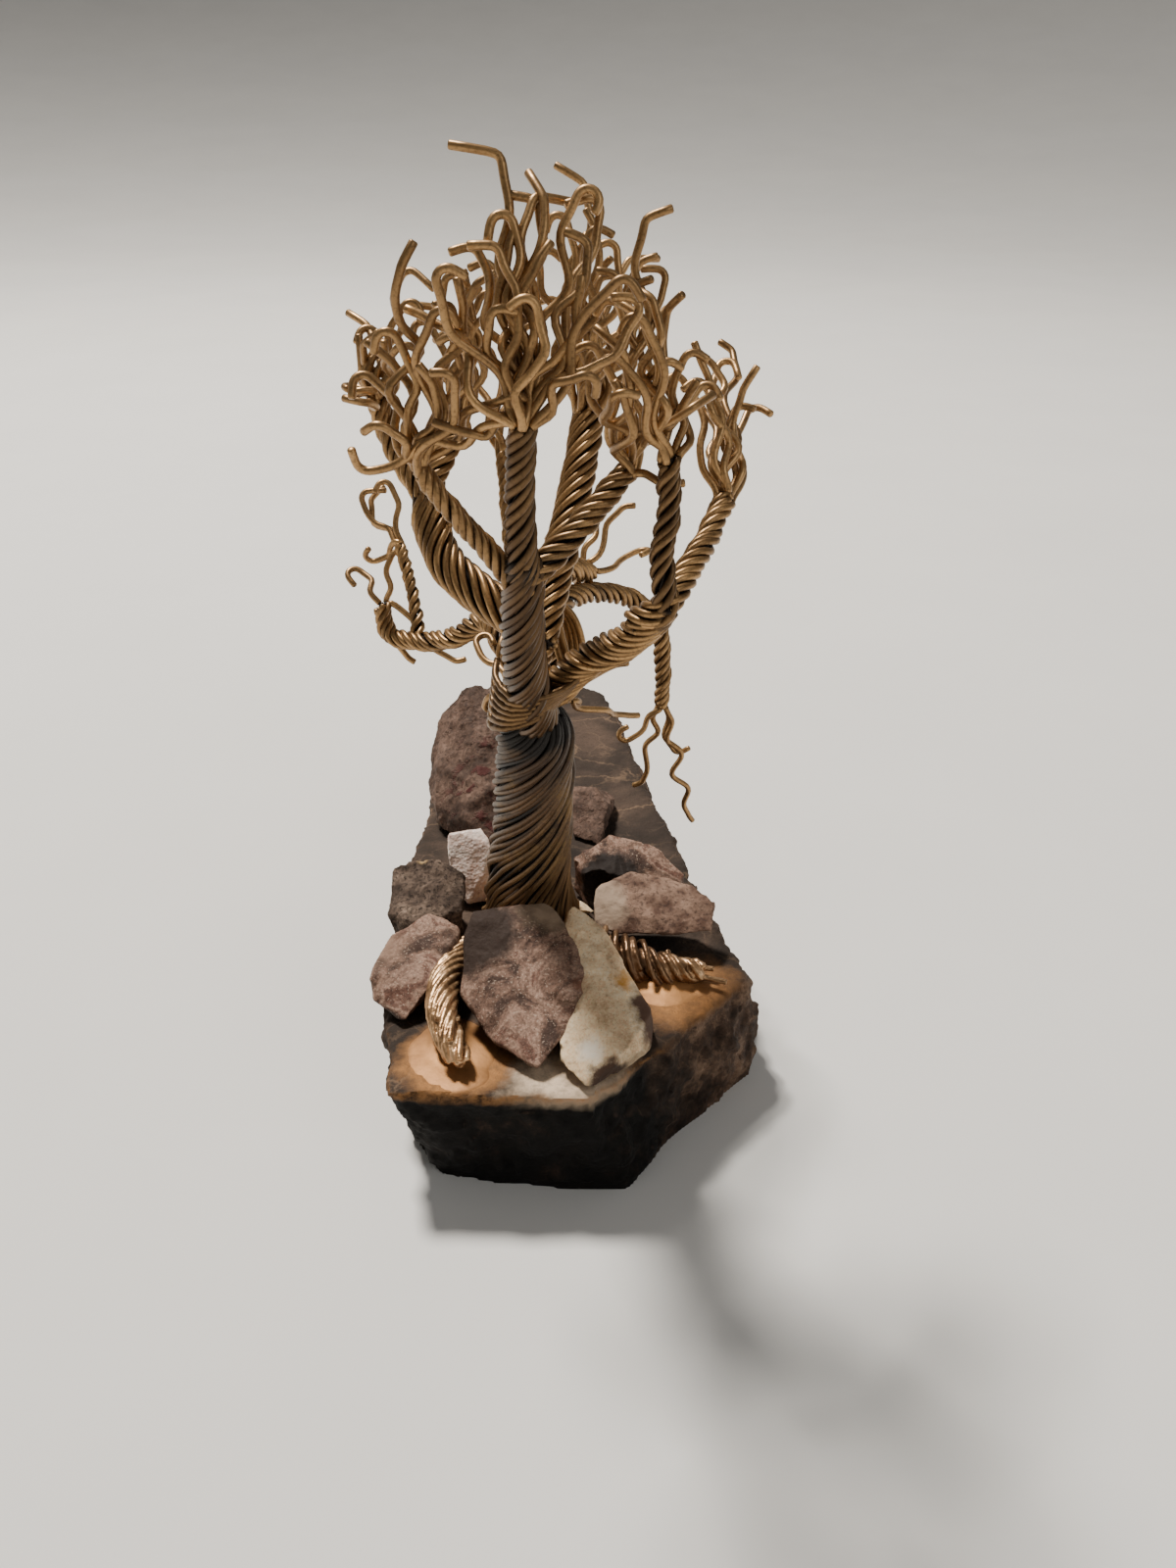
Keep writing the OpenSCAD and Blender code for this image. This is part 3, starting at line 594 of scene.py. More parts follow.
class Finish:
    """A material, with short ways to add its patterns."""

    def __init__(self, name, roughness=0.8, metallic=0.0, shine=0.5):
        self.material = bpy.data.materials.new(name)
        self.material.use_nodes = True
        self.tree = self.material.node_tree
        self.shader = self.tree.nodes["Principled BSDF"]
        self.shader.inputs["Roughness"].default_value = roughness
        self.shader.inputs["Metallic"].default_value = metallic
        self.shader.inputs["Specular IOR Level"].default_value = shine
        self.place = self.tree.nodes.new("ShaderNodeTexCoord").outputs["Object"]

    def join(self, socket, value):
        """Sets a socket to a plain value, or links it to another socket."""
        if isinstance(value, (int, float, tuple)):
            socket.default_value = value
        else:
            self.tree.links.new(value, socket)

    def noise(self, grain, detail=4, rough=0.6, twist=0.0):
        """A soft noise, its grain in mm."""
        node = self.tree.nodes.new("ShaderNodeTexNoise")
        self.join(node.inputs["Vector"], self.place)
        node.inputs["Scale"].default_value = 1 / (grain * MM)
        node.inputs["Detail"].default_value = detail
        node.inputs["Roughness"].default_value = rough
        node.inputs["Distortion"].default_value = twist
        return node.outputs["Fac"]

    def grains(self, size, feature="F1", place=None):
        """A pattern of packed cells, their size in mm."""
        node = self.tree.nodes.new("ShaderNodeTexVoronoi")
        node.feature = feature
        self.join(node.inputs["Vector"], place or self.place)
        node.inputs["Scale"].default_value = 1 / (size * MM)
        return node

    def flecks(self, size):
        """A grey of its own for each grain."""
        return self.ramp(self.grains(size).outputs["Color"], (0.25, 0.25), (0.75, 0.75))

    def mark(self, name):
        """An amount written on the piece's vertices."""
        node = self.tree.nodes.new("ShaderNodeAttribute")
        node.attribute_name = name
        return node.outputs["Fac"]

    def bent(self, grain, amount):
        """The place, shifted about by a noise, so that lines drawn from it wander."""
        noise = self.tree.nodes.new("ShaderNodeTexNoise")
        self.join(noise.inputs["Vector"], self.place)
        noise.inputs["Scale"].default_value = 1 / (grain * MM)
        noise.inputs["Detail"].default_value = 6
        noise.inputs["Roughness"].default_value = 0.65
        node = self.tree.nodes.new("ShaderNodeVectorMath")
        node.operation = "MULTIPLY_ADD"
        self.join(node.inputs[0], noise.outputs["Color"])
        node.inputs[1].default_value = (amount * MM,) * 3
        self.join(node.inputs[2], self.place)
        back = self.tree.nodes.new("ShaderNodeVectorMath")
        back.operation = "SUBTRACT"
        self.join(back.inputs[0], node.outputs[0])
        back.inputs[1].default_value = (amount * MM / 2,) * 3
        return back.outputs[0]

    def ramp(self, fac, *stops):
        """Colours, or greys given as plain numbers, at stops along a pattern."""
        node = self.tree.nodes.new("ShaderNodeValToRGB")
        self.join(node.inputs["Fac"], fac)
        marks = node.color_ramp.elements
        while len(marks) < len(stops):
            marks.new(0.5)
        for mark, (where, colour) in zip(marks, stops):
            mark.position = where
            mark.color = colour if isinstance(colour, tuple) else (colour, colour, colour, 1)
        return node.outputs["Color"]

    def mix(self, amount, a, b, way="MIX"):
        node = self.tree.nodes.new("ShaderNodeMix")
        node.data_type = "RGBA"
        node.blend_type = way
        self.join(node.inputs["Factor"], amount)
        self.join(node.inputs[6], a)
        self.join(node.inputs[7], b)
        return node.outputs[2]

    def both(self, a, b):
        """The product of two masks."""
        return self.mix(1, a, b, "MULTIPLY")

    def either(self, a, b):
        """The greater of two masks."""
        return self.mix(1, a, b, "LIGHTEN")

    def near(self, point, inside, outside, ragged=None):
        """1 round a point, in mm, falling to 0 further out, with a ragged edge."""
        node = self.tree.nodes.new("ShaderNodeVectorMath")
        node.operation = "DISTANCE"
        self.join(node.inputs[0], ragged or self.place)
        node.inputs[1].default_value = Vector(point) * MM
        fall = self.tree.nodes.new("ShaderNodeMapRange")
        self.join(fall.inputs["Value"], node.outputs["Value"])
        fall.inputs["From Min"].default_value = inside * MM
        fall.inputs["From Max"].default_value = outside * MM
        fall.inputs["To Min"].default_value = 1
        fall.inputs["To Max"].default_value = 0
        return fall.outputs["Result"]

    def facing_up(self, low, high):
        """0 where a surface faces up as much as low says, 1 at high. High may be the smaller."""
        normal = self.tree.nodes.new("ShaderNodeNewGeometry").outputs["Normal"]
        parts = self.tree.nodes.new("ShaderNodeSeparateXYZ")
        self.join(parts.inputs[0], normal)
        rise = self.tree.nodes.new("ShaderNodeMapRange")
        self.join(rise.inputs["Value"], parts.outputs["Z"])
        rise.inputs["From Min"].default_value = low
        rise.inputs["From Max"].default_value = high
        return rise.outputs["Result"]

    def height(self, low, high):
        """0 below one height in mm, 1 above another."""
        parts = self.tree.nodes.new("ShaderNodeSeparateXYZ")
        self.join(parts.inputs[0], self.place)
        rise = self.tree.nodes.new("ShaderNodeMapRange")
        self.join(rise.inputs["Value"], parts.outputs["Z"])
        rise.inputs["From Min"].default_value = low * MM
        rise.inputs["From Max"].default_value = high * MM
        return rise.outputs["Result"]

    def colour(self, value):
        self.join(self.shader.inputs["Base Color"], value)

    def gloss(self, fac, low, high):
        self.join(self.shader.inputs["Roughness"], self.ramp(fac, (0, low), (1, high)))

    def bump(self, height, depth, strength=0.6):
        node = self.tree.nodes.new("ShaderNodeBump")
        node.inputs["Strength"].default_value = strength
        node.inputs["Distance"].default_value = depth * MM
        self.join(node.inputs["Height"], height)
        self.join(self.shader.inputs["Normal"], node.outputs["Normal"])


def bronze_wire():
    f = Finish("bronze_wire", metallic=0.8)
    speck = f.noise(0.3, detail=3)
    clean = f.mix(f.mark("tone"), tint(152, 119, 79), tint(196, 156, 106))
    worn = f.mix(f.ramp(f.noise(4), (0.42, 0), (0.65, 0.6)), clean, tint(124, 95, 62))
    aged_and_shading = f.mix(f.ramp(speck, (0.5, 0), (0.68, 0.5)), worn, tint(74, 56, 38))
    # Patina and painted shade: each rope darkened by its own amount, most on the leader and front branches,
    # whose fronts lie in shade
    aged_and_shading = f.mix(f.mark("patina_and_shade"), aged_and_shading, f.mix(f.mark("tone"), tint(50, 36, 24), tint(76, 56, 37)))
    # Painted shade, with some darker patina: near black in the gaps between a rope's wires
    f.colour(f.mix(f.ramp(f.mark("wear_and_gap_shade"), (0.1, 0), (0.85, 1)), tint(24, 17, 12), aged_and_shading))
    f.gloss(f.noise(1.2), 0.3, 0.48)
    f.bump(speck, 0.02, 0.5)
    return f.material


def trunk_wire():
    f = Finish("trunk_wire", metallic=0.5)
    speck = f.noise(0.3, detail=3)
    base = f.mix(f.mark("tone"), tint(66, 50, 36), tint(104, 80, 56))
    olive = f.mix(f.ramp(f.noise(5, twist=0.5), (0.48, 0), (0.62, 0.6)), base, tint(128, 100, 60))
    aged_and_shading = f.mix(f.ramp(speck, (0.5, 0), (0.68, 0.6)), olive, tint(42, 32, 24))
    # Painted shade: darker towards the trunk's top, under the crotch
    aged_and_shading = f.mix(f.height(44, 56), aged_and_shading, tint(40, 29, 22))
    # Painted light: lighter at the trunk's foot, where it lies in shade between the stones
    aged_and_shading = f.mix(f.height(34, 22), aged_and_shading, tint(150, 118, 82))
    # Painted shade, with some darker patina: near black in the gaps between the trunk's wires
    f.colour(f.mix(f.ramp(f.mark("wear_and_gap_shade"), (0.25, 0), (0.95, 1)), tint(18, 13, 9), aged_and_shading))
    f.gloss(f.noise(1.2), 0.36, 0.58)
    f.bump(speck, 0.02, 0.6)
    return f.material


def painted_root_finish():
    f = Finish("painted_root", metallic=0.85)
    thick = f.noise(1.8)
    base = f.ramp(thick, (0.32, tint(134, 102, 72)), (0.5, tint(190, 152, 112)),
                  (0.7, tint(216, 180, 140)))
    # Painted shade: darker on the roots' undersides near the slab, and a painted shadow of the right block
    # on the right root
    under = f.mix(f.height(16.2, 18.2), tint(84, 62, 44), base)
    shaded = f.mix(f.near((8, -34, 18), 4, 9), under, tint(120, 92, 68))
    f.colour(f.mix(f.ramp(f.noise(0.4), (0.54, 0), (0.7, 0.5)), shaded, tint(96, 68, 42)))
    f.gloss(thick, 0.28, 0.46)
    f.bump(f.noise(0.4), 0.05, 0.6)
    return f.material


def glue_paint():
    f = Finish("glue_paint")
    base = f.ramp(f.noise(4, detail=5, twist=1), (0.3, tint(136, 94, 56)), (0.5, tint(156, 112, 70)),
                  (0.7, tint(172, 126, 82)))
    base = f.mix(f.ramp(f.noise(0.35, detail=3), (0.5, 0), (0.72, 0.4)), base, tint(120, 86, 56))
    inner = f.either(f.near((-14, -51, 16), 1, 7, f.bent(4, 5)), f.near((13, -37, 16), 1, 6, f.bent(4, 5)))
    f.colour(f.mix(inner, base, tint(174, 126, 78)))
    f.join(f.shader.inputs["Metallic"], f.ramp(inner, (0, 0.55), (1, 0.65)))
    f.gloss(inner, 0.58, 0.54)
    f.bump(f.noise(0.5), 0.05, 0.6)
    return f.material


def slab_stone():
    f = Finish("slab_stone", shine=0.2)
    wander = f.bent(9, 7)
    speck = f.noise(0.4, rough=0.7)
    top = f.ramp(f.noise(12, detail=6, twist=0.4), (0.32, tint(38, 31, 26)), (0.5, tint(56, 46, 39)),
                 (0.68, tint(86, 70, 59)))
    top = f.mix(f.ramp(speck, (0.5, 0), (0.7, 0.5)), top, tint(36, 29, 25))
    # Two nets of veins, broken up here and there
    lines = f.grains(14, "DISTANCE_TO_EDGE", wander).outputs["Distance"]
    fine = f.grains(5, "DISTANCE_TO_EDGE", wander).outputs["Distance"]
    faint = f.ramp(f.noise(8), (0.45, 0), (0.6, 1))
    broken = f.ramp(f.noise(11), (0.44, 0.15), (0.58, 1))
    top = f.mix(f.both(f.ramp(lines, (0, 0.5), (0.02, 0)), broken), top, tint(142, 116, 92))
    top = f.mix(f.both(f.ramp(fine, (0, 0.35), (0.03, 0)), faint), top, tint(130, 106, 86))
    side = f.ramp(f.noise(6, detail=7, rough=0.75), (0.36, tint(38, 27, 21)), (0.5, tint(76, 58, 46)),
                  (0.6, tint(120, 96, 78)), (0.74, tint(150, 124, 103)))
    # Painted shade: the slab's near front face, turned away from the key light, goes nearly black
    dark = f.ramp(f.noise(4, detail=8, rough=0.75), (0.42, tint(4, 3, 3)), (0.56, tint(11, 8, 6)),
                  (0.66, tint(34, 24, 18)), (0.76, tint(74, 55, 42)))
    side = f.mix(f.near((-6, -60, 6), 18, 30, f.bent(6, 10)), side, dark)
    side = f.mix(f.ramp(speck, (0.48, 0), (0.7, 0.5)), side, tint(12, 9, 7))
    stone = f.mix(f.facing_up(0.5, 0.85), side, top)
    cloud = f.ramp(f.noise(1.2, detail=7, rough=0.75), (0.38, 0), (0.58, 1))
    dust = f.near((0, -55, 16), 4, 9, f.bent(4, 9))
    dust = f.both(f.both(dust, f.height(13.5, 16)), f.ramp(cloud, (0, 0.6), (1, 1)))
    stone = f.mix(dust, stone, tint(224, 200, 172))
    # Bronze film round the two pools and along the slab's near rim
    front_film = f.near((-14, -51.5, 16), 6, 8, f.bent(4, 5))
    right_film = f.near((14, -38, 16), 5, 9.5, f.bent(4, 8))
    film = f.both(f.either(front_film, right_film), f.height(14.5, 15.8))
    edge = f.both(f.height(14.2, 15.4), f.facing_up(0.95, 0.6))
    rim = f.both(f.near((-6, -60, 16), 14, 24, f.bent(3, 6)), edge)
    rim = f.both(rim, f.ramp(cloud, (0, 0.1), (1, 0.8)))
    film = f.either(f.both(film, f.ramp(cloud, (0, 0.6), (1, 1))), rim)
    f.colour(f.mix(film, stone, tint(156, 112, 70)))
    f.join(f.shader.inputs["Metallic"], f.ramp(film, (0, 0), (1, 0.55)))
    f.gloss(film, 0.76, 0.58)
    f.bump(f.noise(0.6, detail=7, rough=0.72), 0.25, 0.7)
    return f.material


def brown_stone():
    f = Finish("brown_stone", shine=0.2)
    wander = f.bent(2.2, 4)
    base = f.ramp(f.noise(5, detail=8, rough=0.6, twist=0.8), (0.4, tint(70, 52, 44)),
                  (0.48, tint(120, 93, 79)), (0.55, tint(156, 127, 110)), (0.62, tint(104, 74, 62)))
    base = f.mix(0.4, base, f.flecks(0.24), "OVERLAY")
    base = f.mix(f.ramp(f.noise(0.3, detail=2), (0.6, 0), (0.68, 0.6)), base, tint(190, 170, 152))
    base = f.mix(f.ramp(f.noise(0.45, detail=4), (0.55, 0), (0.66, 0.5)), base, tint(54, 41, 35))
    base = f.mix(f.near((-12, -38.5, 25.5), 4.4, 7, wander), base, tint(50, 37, 30))
    # Painted light: paler on the shard's top right corner, where it lies in shade
    base = f.mix(f.near((-2, -35, 28), 3, 5.5, wander), base, tint(150, 129, 108))
    base = f.mix(f.near((1, -46, 23), 0.6, 1.6, wander), base, tint(132, 92, 72))
    base = f.mix(f.near((-25, -36, 22), 1, 4, wander), base, tint(146, 118, 100))
    block = f.ramp(f.noise(3, detail=8), (0.4, tint(92, 68, 56)), (0.6, tint(150, 122, 104)))
    block = f.mix(f.ramp(f.noise(0.5, detail=4), (0.52, 0), (0.64, 0.7)), block, tint(60, 44, 38))
    base = f.mix(f.near((12, -27, 23), 7, 9, wander), base, block)
    base = f.mix(f.near((4, -28, 23), 2.4, 4, wander), base, tint(168, 146, 126))
    # Painted shade: near black in the hollow of the right rear stone
    base = f.mix(f.near((5, -20, 20.3), 4.8, 6.2, wander), base, tint(34, 26, 22))
    # Painted shade: faces turned sideways or down are darker
    base = f.mix(f.facing_up(-0.1, 0.45), f.mix(0.5, base, tint(22, 16, 13)), base)
    f.colour(base)
    f.gloss(f.noise(0.6), 0.5, 0.85)
    f.bump(f.noise(0.4, detail=6, rough=0.7), 0.16, 0.8)
    return f.material


def grey_stone():
    f = Finish("grey_stone", shine=0.2)
    wander = f.bent(2.2, 4)
    base = f.ramp(f.noise(4, detail=8, rough=0.62), (0.32, tint(196, 164, 128)), (0.5, tint(234, 206, 168)),
                  (0.68, tint(252, 230, 194)))
    base = f.mix(0.3, base, f.flecks(0.22), "OVERLAY")
    base = f.mix(f.ramp(f.noise(0.4, detail=4), (0.56, 0), (0.68, 0.4)), base, tint(122, 98, 78))
    base = f.mix(f.near((6.5, -45.5, 23.5), 0.6, 1.8, wander), base, tint(196, 142, 70))
    # Painted shade: the grey stone's lower right side is darker
    base = f.mix(f.near((11.5, -48, 20), 3.8, 5.4, wander), base, tint(92, 70, 58))
    base = f.mix(f.near((5, -57, 17), 2.2, 3.4, wander), base, tint(80, 60, 48))
    base = f.mix(f.near((2, -54.5, 20), 0.8, 2, wander), base, tint(244, 232, 214))
    # Painted shade: faces turned sideways or down are darker
    base = f.mix(f.facing_up(-0.1, 0.4), f.mix(0.55, base, tint(40, 31, 26)), base)
    f.colour(base)
    f.gloss(f.noise(0.6), 0.5, 0.85)
    f.bump(f.noise(0.4, detail=6, rough=0.7), 0.14, 0.8)
    return f.material


def dark_stone():
    f = Finish("dark_stone", shine=0.2)
    base = f.ramp(f.noise(3, detail=8), (0.35, tint(66, 54, 46)), (0.52, tint(100, 84, 73)),
                  (0.68, tint(134, 115, 100)))
    base = f.mix(0.5, base, f.flecks(0.35), "OVERLAY")
    base = f.mix(f.ramp(f.noise(0.5, detail=4), (0.53, 0), (0.64, 0.8)), base, tint(34, 27, 23))
    base = f.mix(f.near((-21, -20, 25.5), 0.5, 1, f.bent(1, 1)), base, tint(206, 172, 122))
    f.colour(base)
    f.gloss(f.noise(0.8), 0.6, 0.9)
    f.bump(f.noise(0.5, detail=6, rough=0.8), 0.3, 0.9)
    return f.material


def pale_quartz():
    f = Finish("pale_quartz")
    base = f.ramp(f.noise(3, detail=6), (0.35, tint(214, 188, 176)), (0.5, tint(238, 216, 204)),
                  (0.68, tint(252, 240, 230)))
    base = f.mix(f.ramp(f.noise(0.5, detail=4), (0.56, 0), (0.7, 0.5)), base, tint(142, 112, 104))
    f.colour(f.mix(0.3, base, f.flecks(0.3), "OVERLAY"))
    f.gloss(f.grains(0.5).outputs["Distance"], 0.22, 0.6)
    f.shader.inputs["Subsurface Weight"].default_value = 0.15
    f.shader.inputs["Subsurface Radius"].default_value = (0.002, 0.0015, 0.0015)
    f.bump(f.grains(0.4).outputs["Distance"], 0.12, 0.6)
    return f.material


def pitted_rock():
    f = Finish("pitted_rock", shine=0.2)
    wander = f.bent(3, 6)
    base = f.ramp(f.noise(5, detail=8, rough=0.68), (0.32, tint(58, 44, 37)), (0.5, tint(88, 69, 59)),
                  (0.68, tint(124, 100, 87)))
    base = f.mix(0.4, base, f.flecks(0.4), "OVERLAY")
    pits = f.ramp(f.noise(2.2), (0.54, 0), (0.62, 1))
    base = f.mix(f.both(pits, f.near((-10, 2, 26), 8, 14)), base, tint(78, 42, 38))
    base = f.mix(f.near((-7, 6, 29), 1.5, 4, wander), base, tint(166, 134, 122))
    base = f.mix(f.ramp(f.noise(0.6, detail=4), (0.55, 0), (0.66, 0.6)), base, tint(44, 34, 30))
    f.colour(base)
    f.gloss(f.noise(1), 0.6, 0.9)
    f.bump(f.mix(0.5, f.noise(0.6, detail=6, rough=0.75), pits), 0.3, 0.9)
    return f.material


# ---- Camera, floor and light ----
def set_camera():
    """A camera a little above the crown, looking down at the tree from its front."""
    lens = bpy.data.cameras.new("camera")
    lens.sensor_fit = "VERTICAL"
    lens.sensor_height = 36
    lens.lens = 30.825
    lens.clip_start = 0.01
    camera = bpy.data.objects.new("camera", lens)
    camera.location = (0.002, -0.180, 0.120)
    camera.rotation_euler = (math.radians(62.6), 0, 0)
    bpy.context.scene.collection.objects.link(camera)
    bpy.context.scene.camera = camera


def pale_floor():
    """A pale round sheet, level under the object and curving up far from it."""
    flat_r, curve_r, steps = 0.9, 2.6, 24
    pick_nothing()
    bpy.ops.mesh.primitive_circle_add(vertices=96, radius=flat_r, fill_type="TRIFAN", location=(0, 0, 0))
    sheet = bpy.context.object
    sheet.name = "floor"
    bpy.ops.object.mode_set(mode="EDIT")
    bpy.ops.mesh.select_mode(type="EDGE")
    bpy.ops.mesh.select_all(action="DESELECT")
    bpy.ops.mesh.select_non_manifold()
    wide, rise = flat_r, 0
    for i in range(1, steps + 1):
        a = math.radians(88 * i / steps)
        new_wide, new_rise = flat_r + curve_r * math.sin(a), curve_r * (1 - math.cos(a))
        bpy.ops.mesh.extrude_region()
        bpy.ops.transform.resize(value=(new_wide / wide, new_wide / wide, 1))
        bpy.ops.transform.translate(value=(0, 0, new_rise - rise))
        wide, rise = new_wide, new_rise
    bpy.ops.object.mode_set(mode="OBJECT")
    bpy.ops.object.shade_smooth()
    paper = Finish("floor_paper", roughness=0.9)
    paper.colour(paper.ramp(paper.noise(60), (0.3, tint(226, 225, 222)), (0.7, tint(230, 229, 226))))
    sheet.data.materials.append(paper.material)


def soft_light(name, place, aim, size, power, colour=(1, 1, 1)):
    """A round lamp that faces a point."""
    lamp = bpy.data.lights.new(name, "AREA")
    lamp.shape = "DISK"
    lamp.size = size
    lamp.energy = power
    lamp.color = colour
    light = bpy.data.objects.new(name, lamp)
    light.location = place
    light.rotation_euler = (Vector(aim) - Vector(place)).to_track_quat("-Z", "Y").to_euler()
    bpy.context.scene.collection.objects.link(light)


def light_studio():
    """A warm lamp behind and above, a weak one in front, and a pale sky."""
    soft_light("key", (-0.35, 0.45, 1.15), (0, -0.02, 0.05), 0.22, 28, (1, 0.94, 0.86))
    soft_light("fill", (0.8, -0.9, 0.8), (0, -0.02, 0.05), 0.8, 3)
    world = bpy.data.worlds.new("studio")
    world.use_nodes = True
    world.node_tree.nodes["Background"].inputs["Color"].default_value = (0.9, 0.88, 0.85, 1)
    world.node_tree.nodes["Background"].inputs["Strength"].default_value = 0.2
    bpy.context.scene.world = world


# ---- Putting it together ----
set_camera()
light_studio()
pale_floor()

SLOTS = {entry["node"]: entry["material_slot"] for entry in frame["record"]["subparts"]}
FINISHES = {"slab_stone": slab_stone(), "glue_paint": glue_paint(), "brown_stone": brown_stone(),
            "grey_stone": grey_stone(), "dark_stone": dark_stone(), "pale_quartz": pale_quartz(),
            "pitted_rock": pitted_rock(), "painted_root": painted_root_finish(),
            "trunk_wire": trunk_wire(), "bronze_wire": bronze_wire()}


def place_piece(piece, node):
    """Hands a finished piece in for its CAD node, in that node's finish."""
    piece.data.materials.clear()
    piece.data.materials.append(FINISHES[SLOTS[node]])
    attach(piece, "root")
    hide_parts(node)


def place_rope(node, route, r0, r1, patina_and_shade=0.1, **twist):
    """A rope along a route, its radius going from r0 to r1."""
    rope = Rope(route, r0, r1, **twist)
    piece = draw_wires(f"{node}_wires", rope.wires, seed=len(node))
    wear_and_gap_shade_of_rope(piece, rope.line, lambda t: r0 + (r1 - r0) * t)
    # How much of the patina and painted shade this rope gets
    spread(piece, "patina_and_shade", patina_and_shade)
    place_piece(piece, node)
    return rope


def place_twigs(node, rope, rows, seed, extra=0):
    """Twigs, each one the end of a wire of its rope, and some more in between."""
    dice = random.Random(seed)
    middle = rope.line[-1]
    free = list(range(len(rope.tip)))
    lines = []
    for row in rows + extra_rows(rows, extra, dice):
        way = (Vector(row[:3]) - middle).normalized()
        k = max(free, key=lambda k: (rope.tip[k] - middle).dot(way))
        free.remove(k)
        free = free or list(range(len(rope.tip)))
        lines.append(twig_line(rope.tip[k], rope.along[k], row, dice))
    place_loose(node, lines)


def place_loose(node, lines, patina_and_shade=0.1):
    """Single wires that aren't laid into a rope."""
    piece = draw_wires(f"{node}_wires", lines, seed=len(node))
    # Loose wires lie in no gaps, so they get next to none of the painted gap shade
    spread(piece, "wear_and_gap_shade", 0.9)
    spread(piece, "patina_and_shade", patina_and_shade)
    place_piece(piece, node)


place_piece(rough_slab(), "slab")
place_piece(broken_stone("front_shard", lobe=((-0.4, -46.5, 22.6), (2, 2.6, 1.3))), "front_shard")
place_piece(broken_stone("grey_stone"), "grey_stone")
place_piece(broken_stone("left_front_stone"), "left_front_stone")
place_piece(broken_stone("left_dark_stone", lump=0.7, grit=0.16), "left_dark_stone")
place_piece(broken_stone("pale_quartz", strikes=10, lump=0.3), "pale_quartz")
place_piece(broken_stone("right_rear_stone", lump=0.9, hollow=(
    ((3, -21, 20.5), (3, 3.4, 3)), ((8, -21.5, 20.6), (4.6, 2.8, 1.7)))), "right_rear_stone")
place_piece(broken_stone("right_block"), "right_block")
place_piece(broken_stone("rear_rock", strikes=14, depth=2, lump=0.9, cell=0.28, grit=0.2), "rear_rock")
place_piece(broken_stone("rear_lump", lump=0.6), "rear_lump")
place_piece(broken_stone("pebbles", strikes=0, lump=0.2, cell=0.15, grit=0.06), "pebbles")

ROOTS = {
    "front_root": (
        Rope(FRONT_ROOT, 2.2, 1.9, lay=24, seed=31, ragged=9, close=0.35), 1.3, []),
    "right_root": (
        Rope(RIGHT_ROOT, 2.8, 2.5, lay=58, seed=32, ragged=10, uneven=0.35, close=0.2), 1.6,
        RIGHT_STUBS),
    "rear_root": (Rope(REAR_ROOT, 2.1, 1.5, lay=30, seed=33, ragged=4), 1, [])}
for node, (rope, core_r, stubs) in ROOTS.items():
    wires = [even(smooth(stub), 0.5) for stub in stubs]
    place_piece(painted_root(f"{node}_strands", rope, core_r, wires), node)

place_piece(glue_pool("front_glue_pool", [
    ((-14.5, -50, 15.6), (6, 7, 0.75)), ((-13.5, -54.5, 15.6), (4.5, 3.4, 0.7)),
    ((-15, -48, 15.8), (3, 5, 1.1))]),
    "front_glue")
place_piece(glue_pool("right_glue_pool", [
    ((12, -37.5, 15.6), (5, 4, 0.75)), ((16, -36.5, 15.6), (4.4, 2.8, 0.7)),
    ((12, -36, 15.8), (5, 2.4, 1.3))]),
    "right_glue")

# The ropes. Some start a little further back than their route, deep inside their parent
place_rope("trunk", TRUNK, 5.9, 4.3, lay=TRUNK_LAY, end_lay=TRUNK_TOP_LAY, seed=41, flare=1.8,
           uneven=0.2, close=0.38)
place_rope("leader", LEADER, 2.6, 2, lay=30, seed=42, uneven=0.16, close=0.35, patina_and_shade=0.9)
front = place_rope("front_branch", [[-4, -57, 77]] + FRONT, 1.7, 1.3, seed=43, patina_and_shade=0.75)
front_left = place_rope("front_left_branch", [[-3.5, -56, 75]] + FRONT_LEFT, 1.3, 1, seed=44,
                        patina_and_shade=0.3)
front_right = place_rope("front_right_branch", [[-4.5, -56.5, 75.5]] + FRONT_RIGHT, 1.6, 1.2, seed=45,
                         patina_and_shade=0.4)
rear_leader = place_rope("rear_leader", REAR_LEADER, 2, 1.8, seed=46)
thin = place_rope("thin_branch", THIN, 1.1, 0.9, seed=47)
place_rope("left_arm", LEFT_ARM, 2.3, 1.9, seed=48, close=0.3, patina_and_shade=0.25)
left_outer = place_rope("left_arm_outer", [[-13.5, -45, 79]] + LEFT_OUTER, 1.5, 1.2, seed=49)
left_inner = place_rope("left_arm_inner", [[-15, -44, 79.5]] + LEFT_INNER, 1.4, 1.1, seed=50)
place_rope("right_arm", RIGHT_ARM, 2.1, 1.7, seed=51, close=0.3, patina_and_shade=0)
right_near = place_rope("right_arm_near", [[8.5, -55, 73]] + RIGHT_NEAR, 1.4, 1.1, seed=52,
                        patina_and_shade=0.66)
right_far = place_rope("right_arm_far", [[6.5, -54.5, 73]] + RIGHT_FAR, 1.5, 1.2, seed=53)
low_left = place_rope("low_left_arm", LOW_LEFT, 1.7, 1.2, seed=54)
sprig = place_rope("low_left_sprig", SPRIG, 1, 0.8, seed=55)
rear_right = place_rope("rear_right_branch", REAR_RIGHT, 1.5, 1.1, seed=56, patina_and_shade=0.3)
rear_short = place_rope("rear_short_branch", REAR_SHORT, 1.8, 1.5, seed=57)

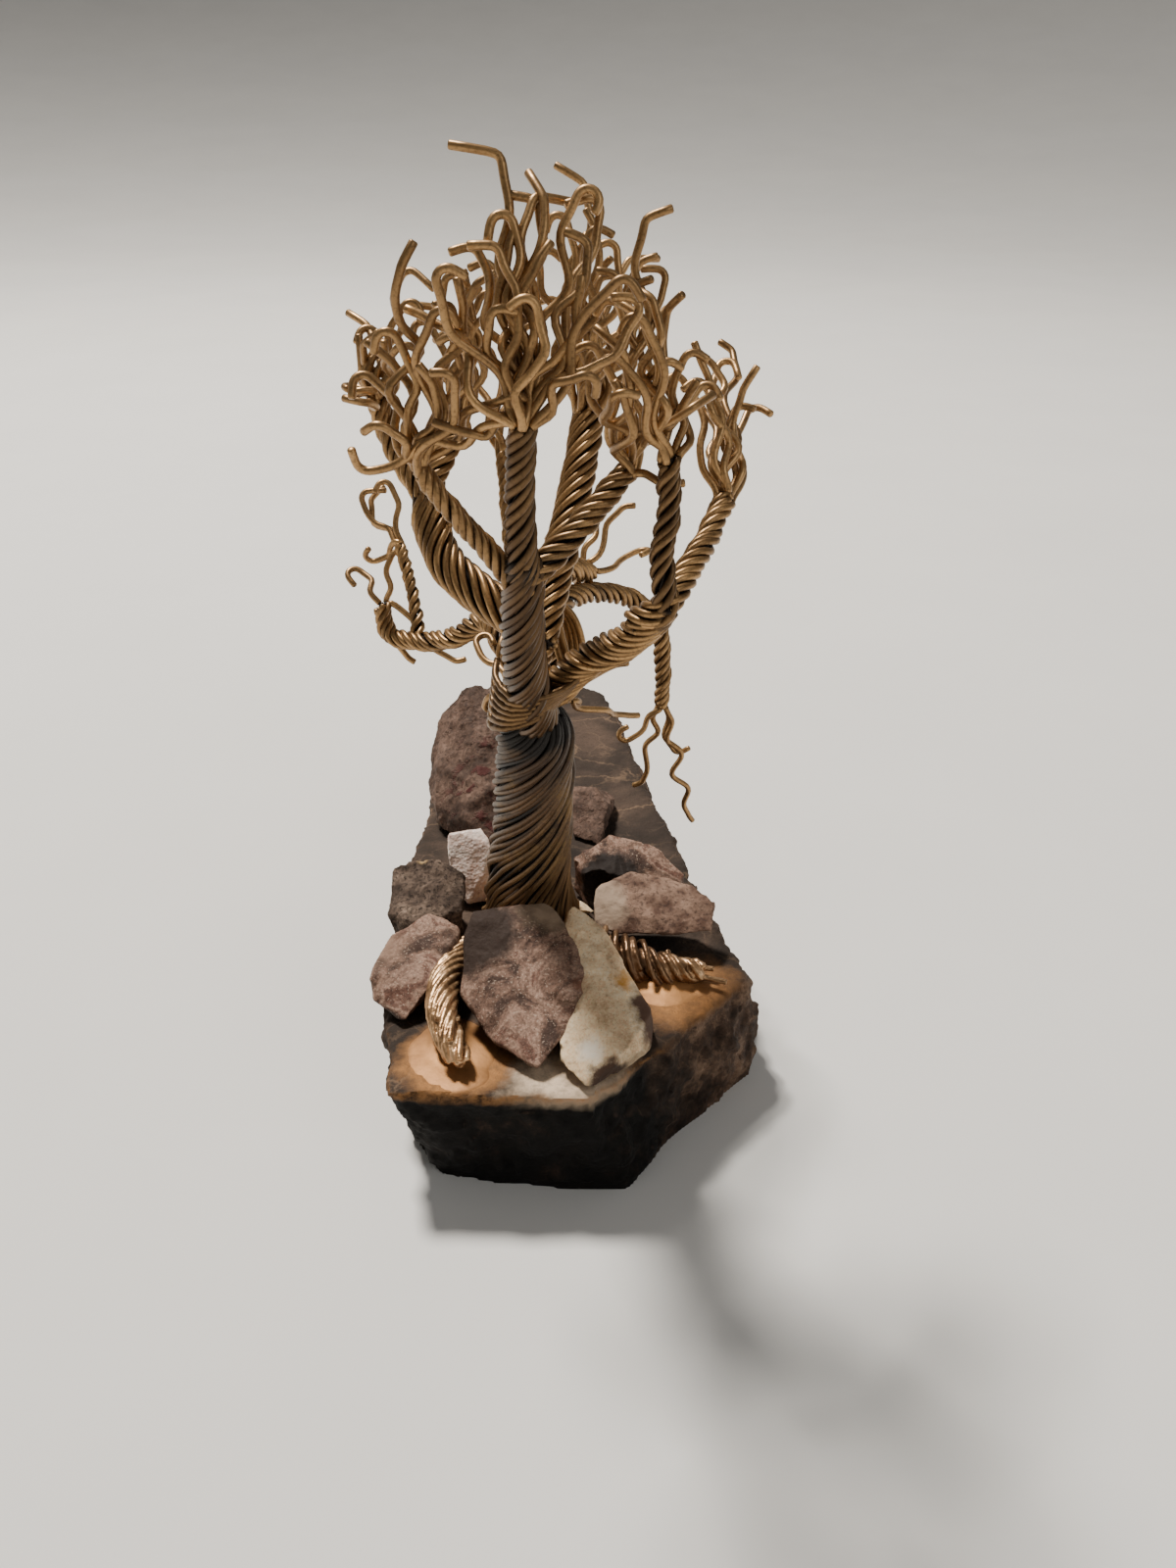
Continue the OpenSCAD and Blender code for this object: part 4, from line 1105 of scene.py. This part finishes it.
place_twigs("front_twigs", front, FRONT_ENDS, 61, extra=8)
place_twigs("front_left_twigs", front_left, FRONT_LEFT_ENDS, 62, extra=5)
place_twigs("front_right_twigs", front_right, FRONT_RIGHT_ENDS, 63, extra=6)
place_twigs("rear_leader_twigs", rear_leader, REAR_LEADER_ENDS, 64, extra=8)
place_twigs("thin_twigs", thin, THIN_ENDS, 65, extra=2)
place_twigs("left_outer_twigs", left_outer, LEFT_OUTER_ENDS, 66, extra=5)
place_twigs("left_inner_twigs", left_inner, LEFT_INNER_ENDS, 67, extra=5)
place_twigs("right_near_twigs", right_near, RIGHT_NEAR_ENDS, 68, extra=3)
place_twigs("right_far_twigs", right_far, RIGHT_FAR_ENDS, 69, extra=3)
place_twigs("low_left_twigs", low_left, LOW_LEFT_ENDS, 70)
place_twigs("sprig_twigs", sprig, SPRIG_ENDS, 71, extra=1)
place_twigs("rear_right_twigs", rear_right, REAR_RIGHT_ENDS, 72)
place_twigs("rear_short_twigs", rear_short, REAR_SHORT_ENDS, 73)

curl_dice = random.Random(74)
curls = ((LEFT_CURL_START, LEFT_CURL_ENDS), (RIGHT_CURL_START, RIGHT_CURL_ENDS))
place_loose("crotch_curls", [
    twig_line(Vector(start), Vector(row[:3]) - Vector(start), row, curl_dice)
    for start, rows in curls for row in rows])
place_loose("cut_stub", [even(smooth(STUB), 0.5)])
wrap_dice = random.Random(75)
low_and_high = list(zip(smooth(WRAP_LOW), smooth(WRAP_HIGH)))
place_loose("crotch_wrap", [
    [a.lerp(b, (k + wrap_dice.uniform(-0.12, 0.12)) / (WRAP_WIRES - 1)) for a, b in low_and_high]
    for k in range(WRAP_WIRES)], patina_and_shade=0.65)


def arch_wire(k):
    """One wire of the arch, from its left foot over the top to its right foot."""
    middle = Vector(ARCH_MIDDLE) + Vector((0, ARCH_BACKWARD * k, 0))
    wide, high = ARCH_WIDE_R - ARCH_INWARD * k, ARCH_HIGH_R - ARCH_INWARD * k
    angles = [math.radians(190 - 8 * i) for i in range(26)]
    return [middle + Vector((wide * math.cos(a), 0, high * math.sin(a))) for a in angles]


place_loose("arch_wires", [arch_wire(k) for k in range(ARCH_WIRES)]
            + [even(smooth(route), 0.5) for route in RISERS])
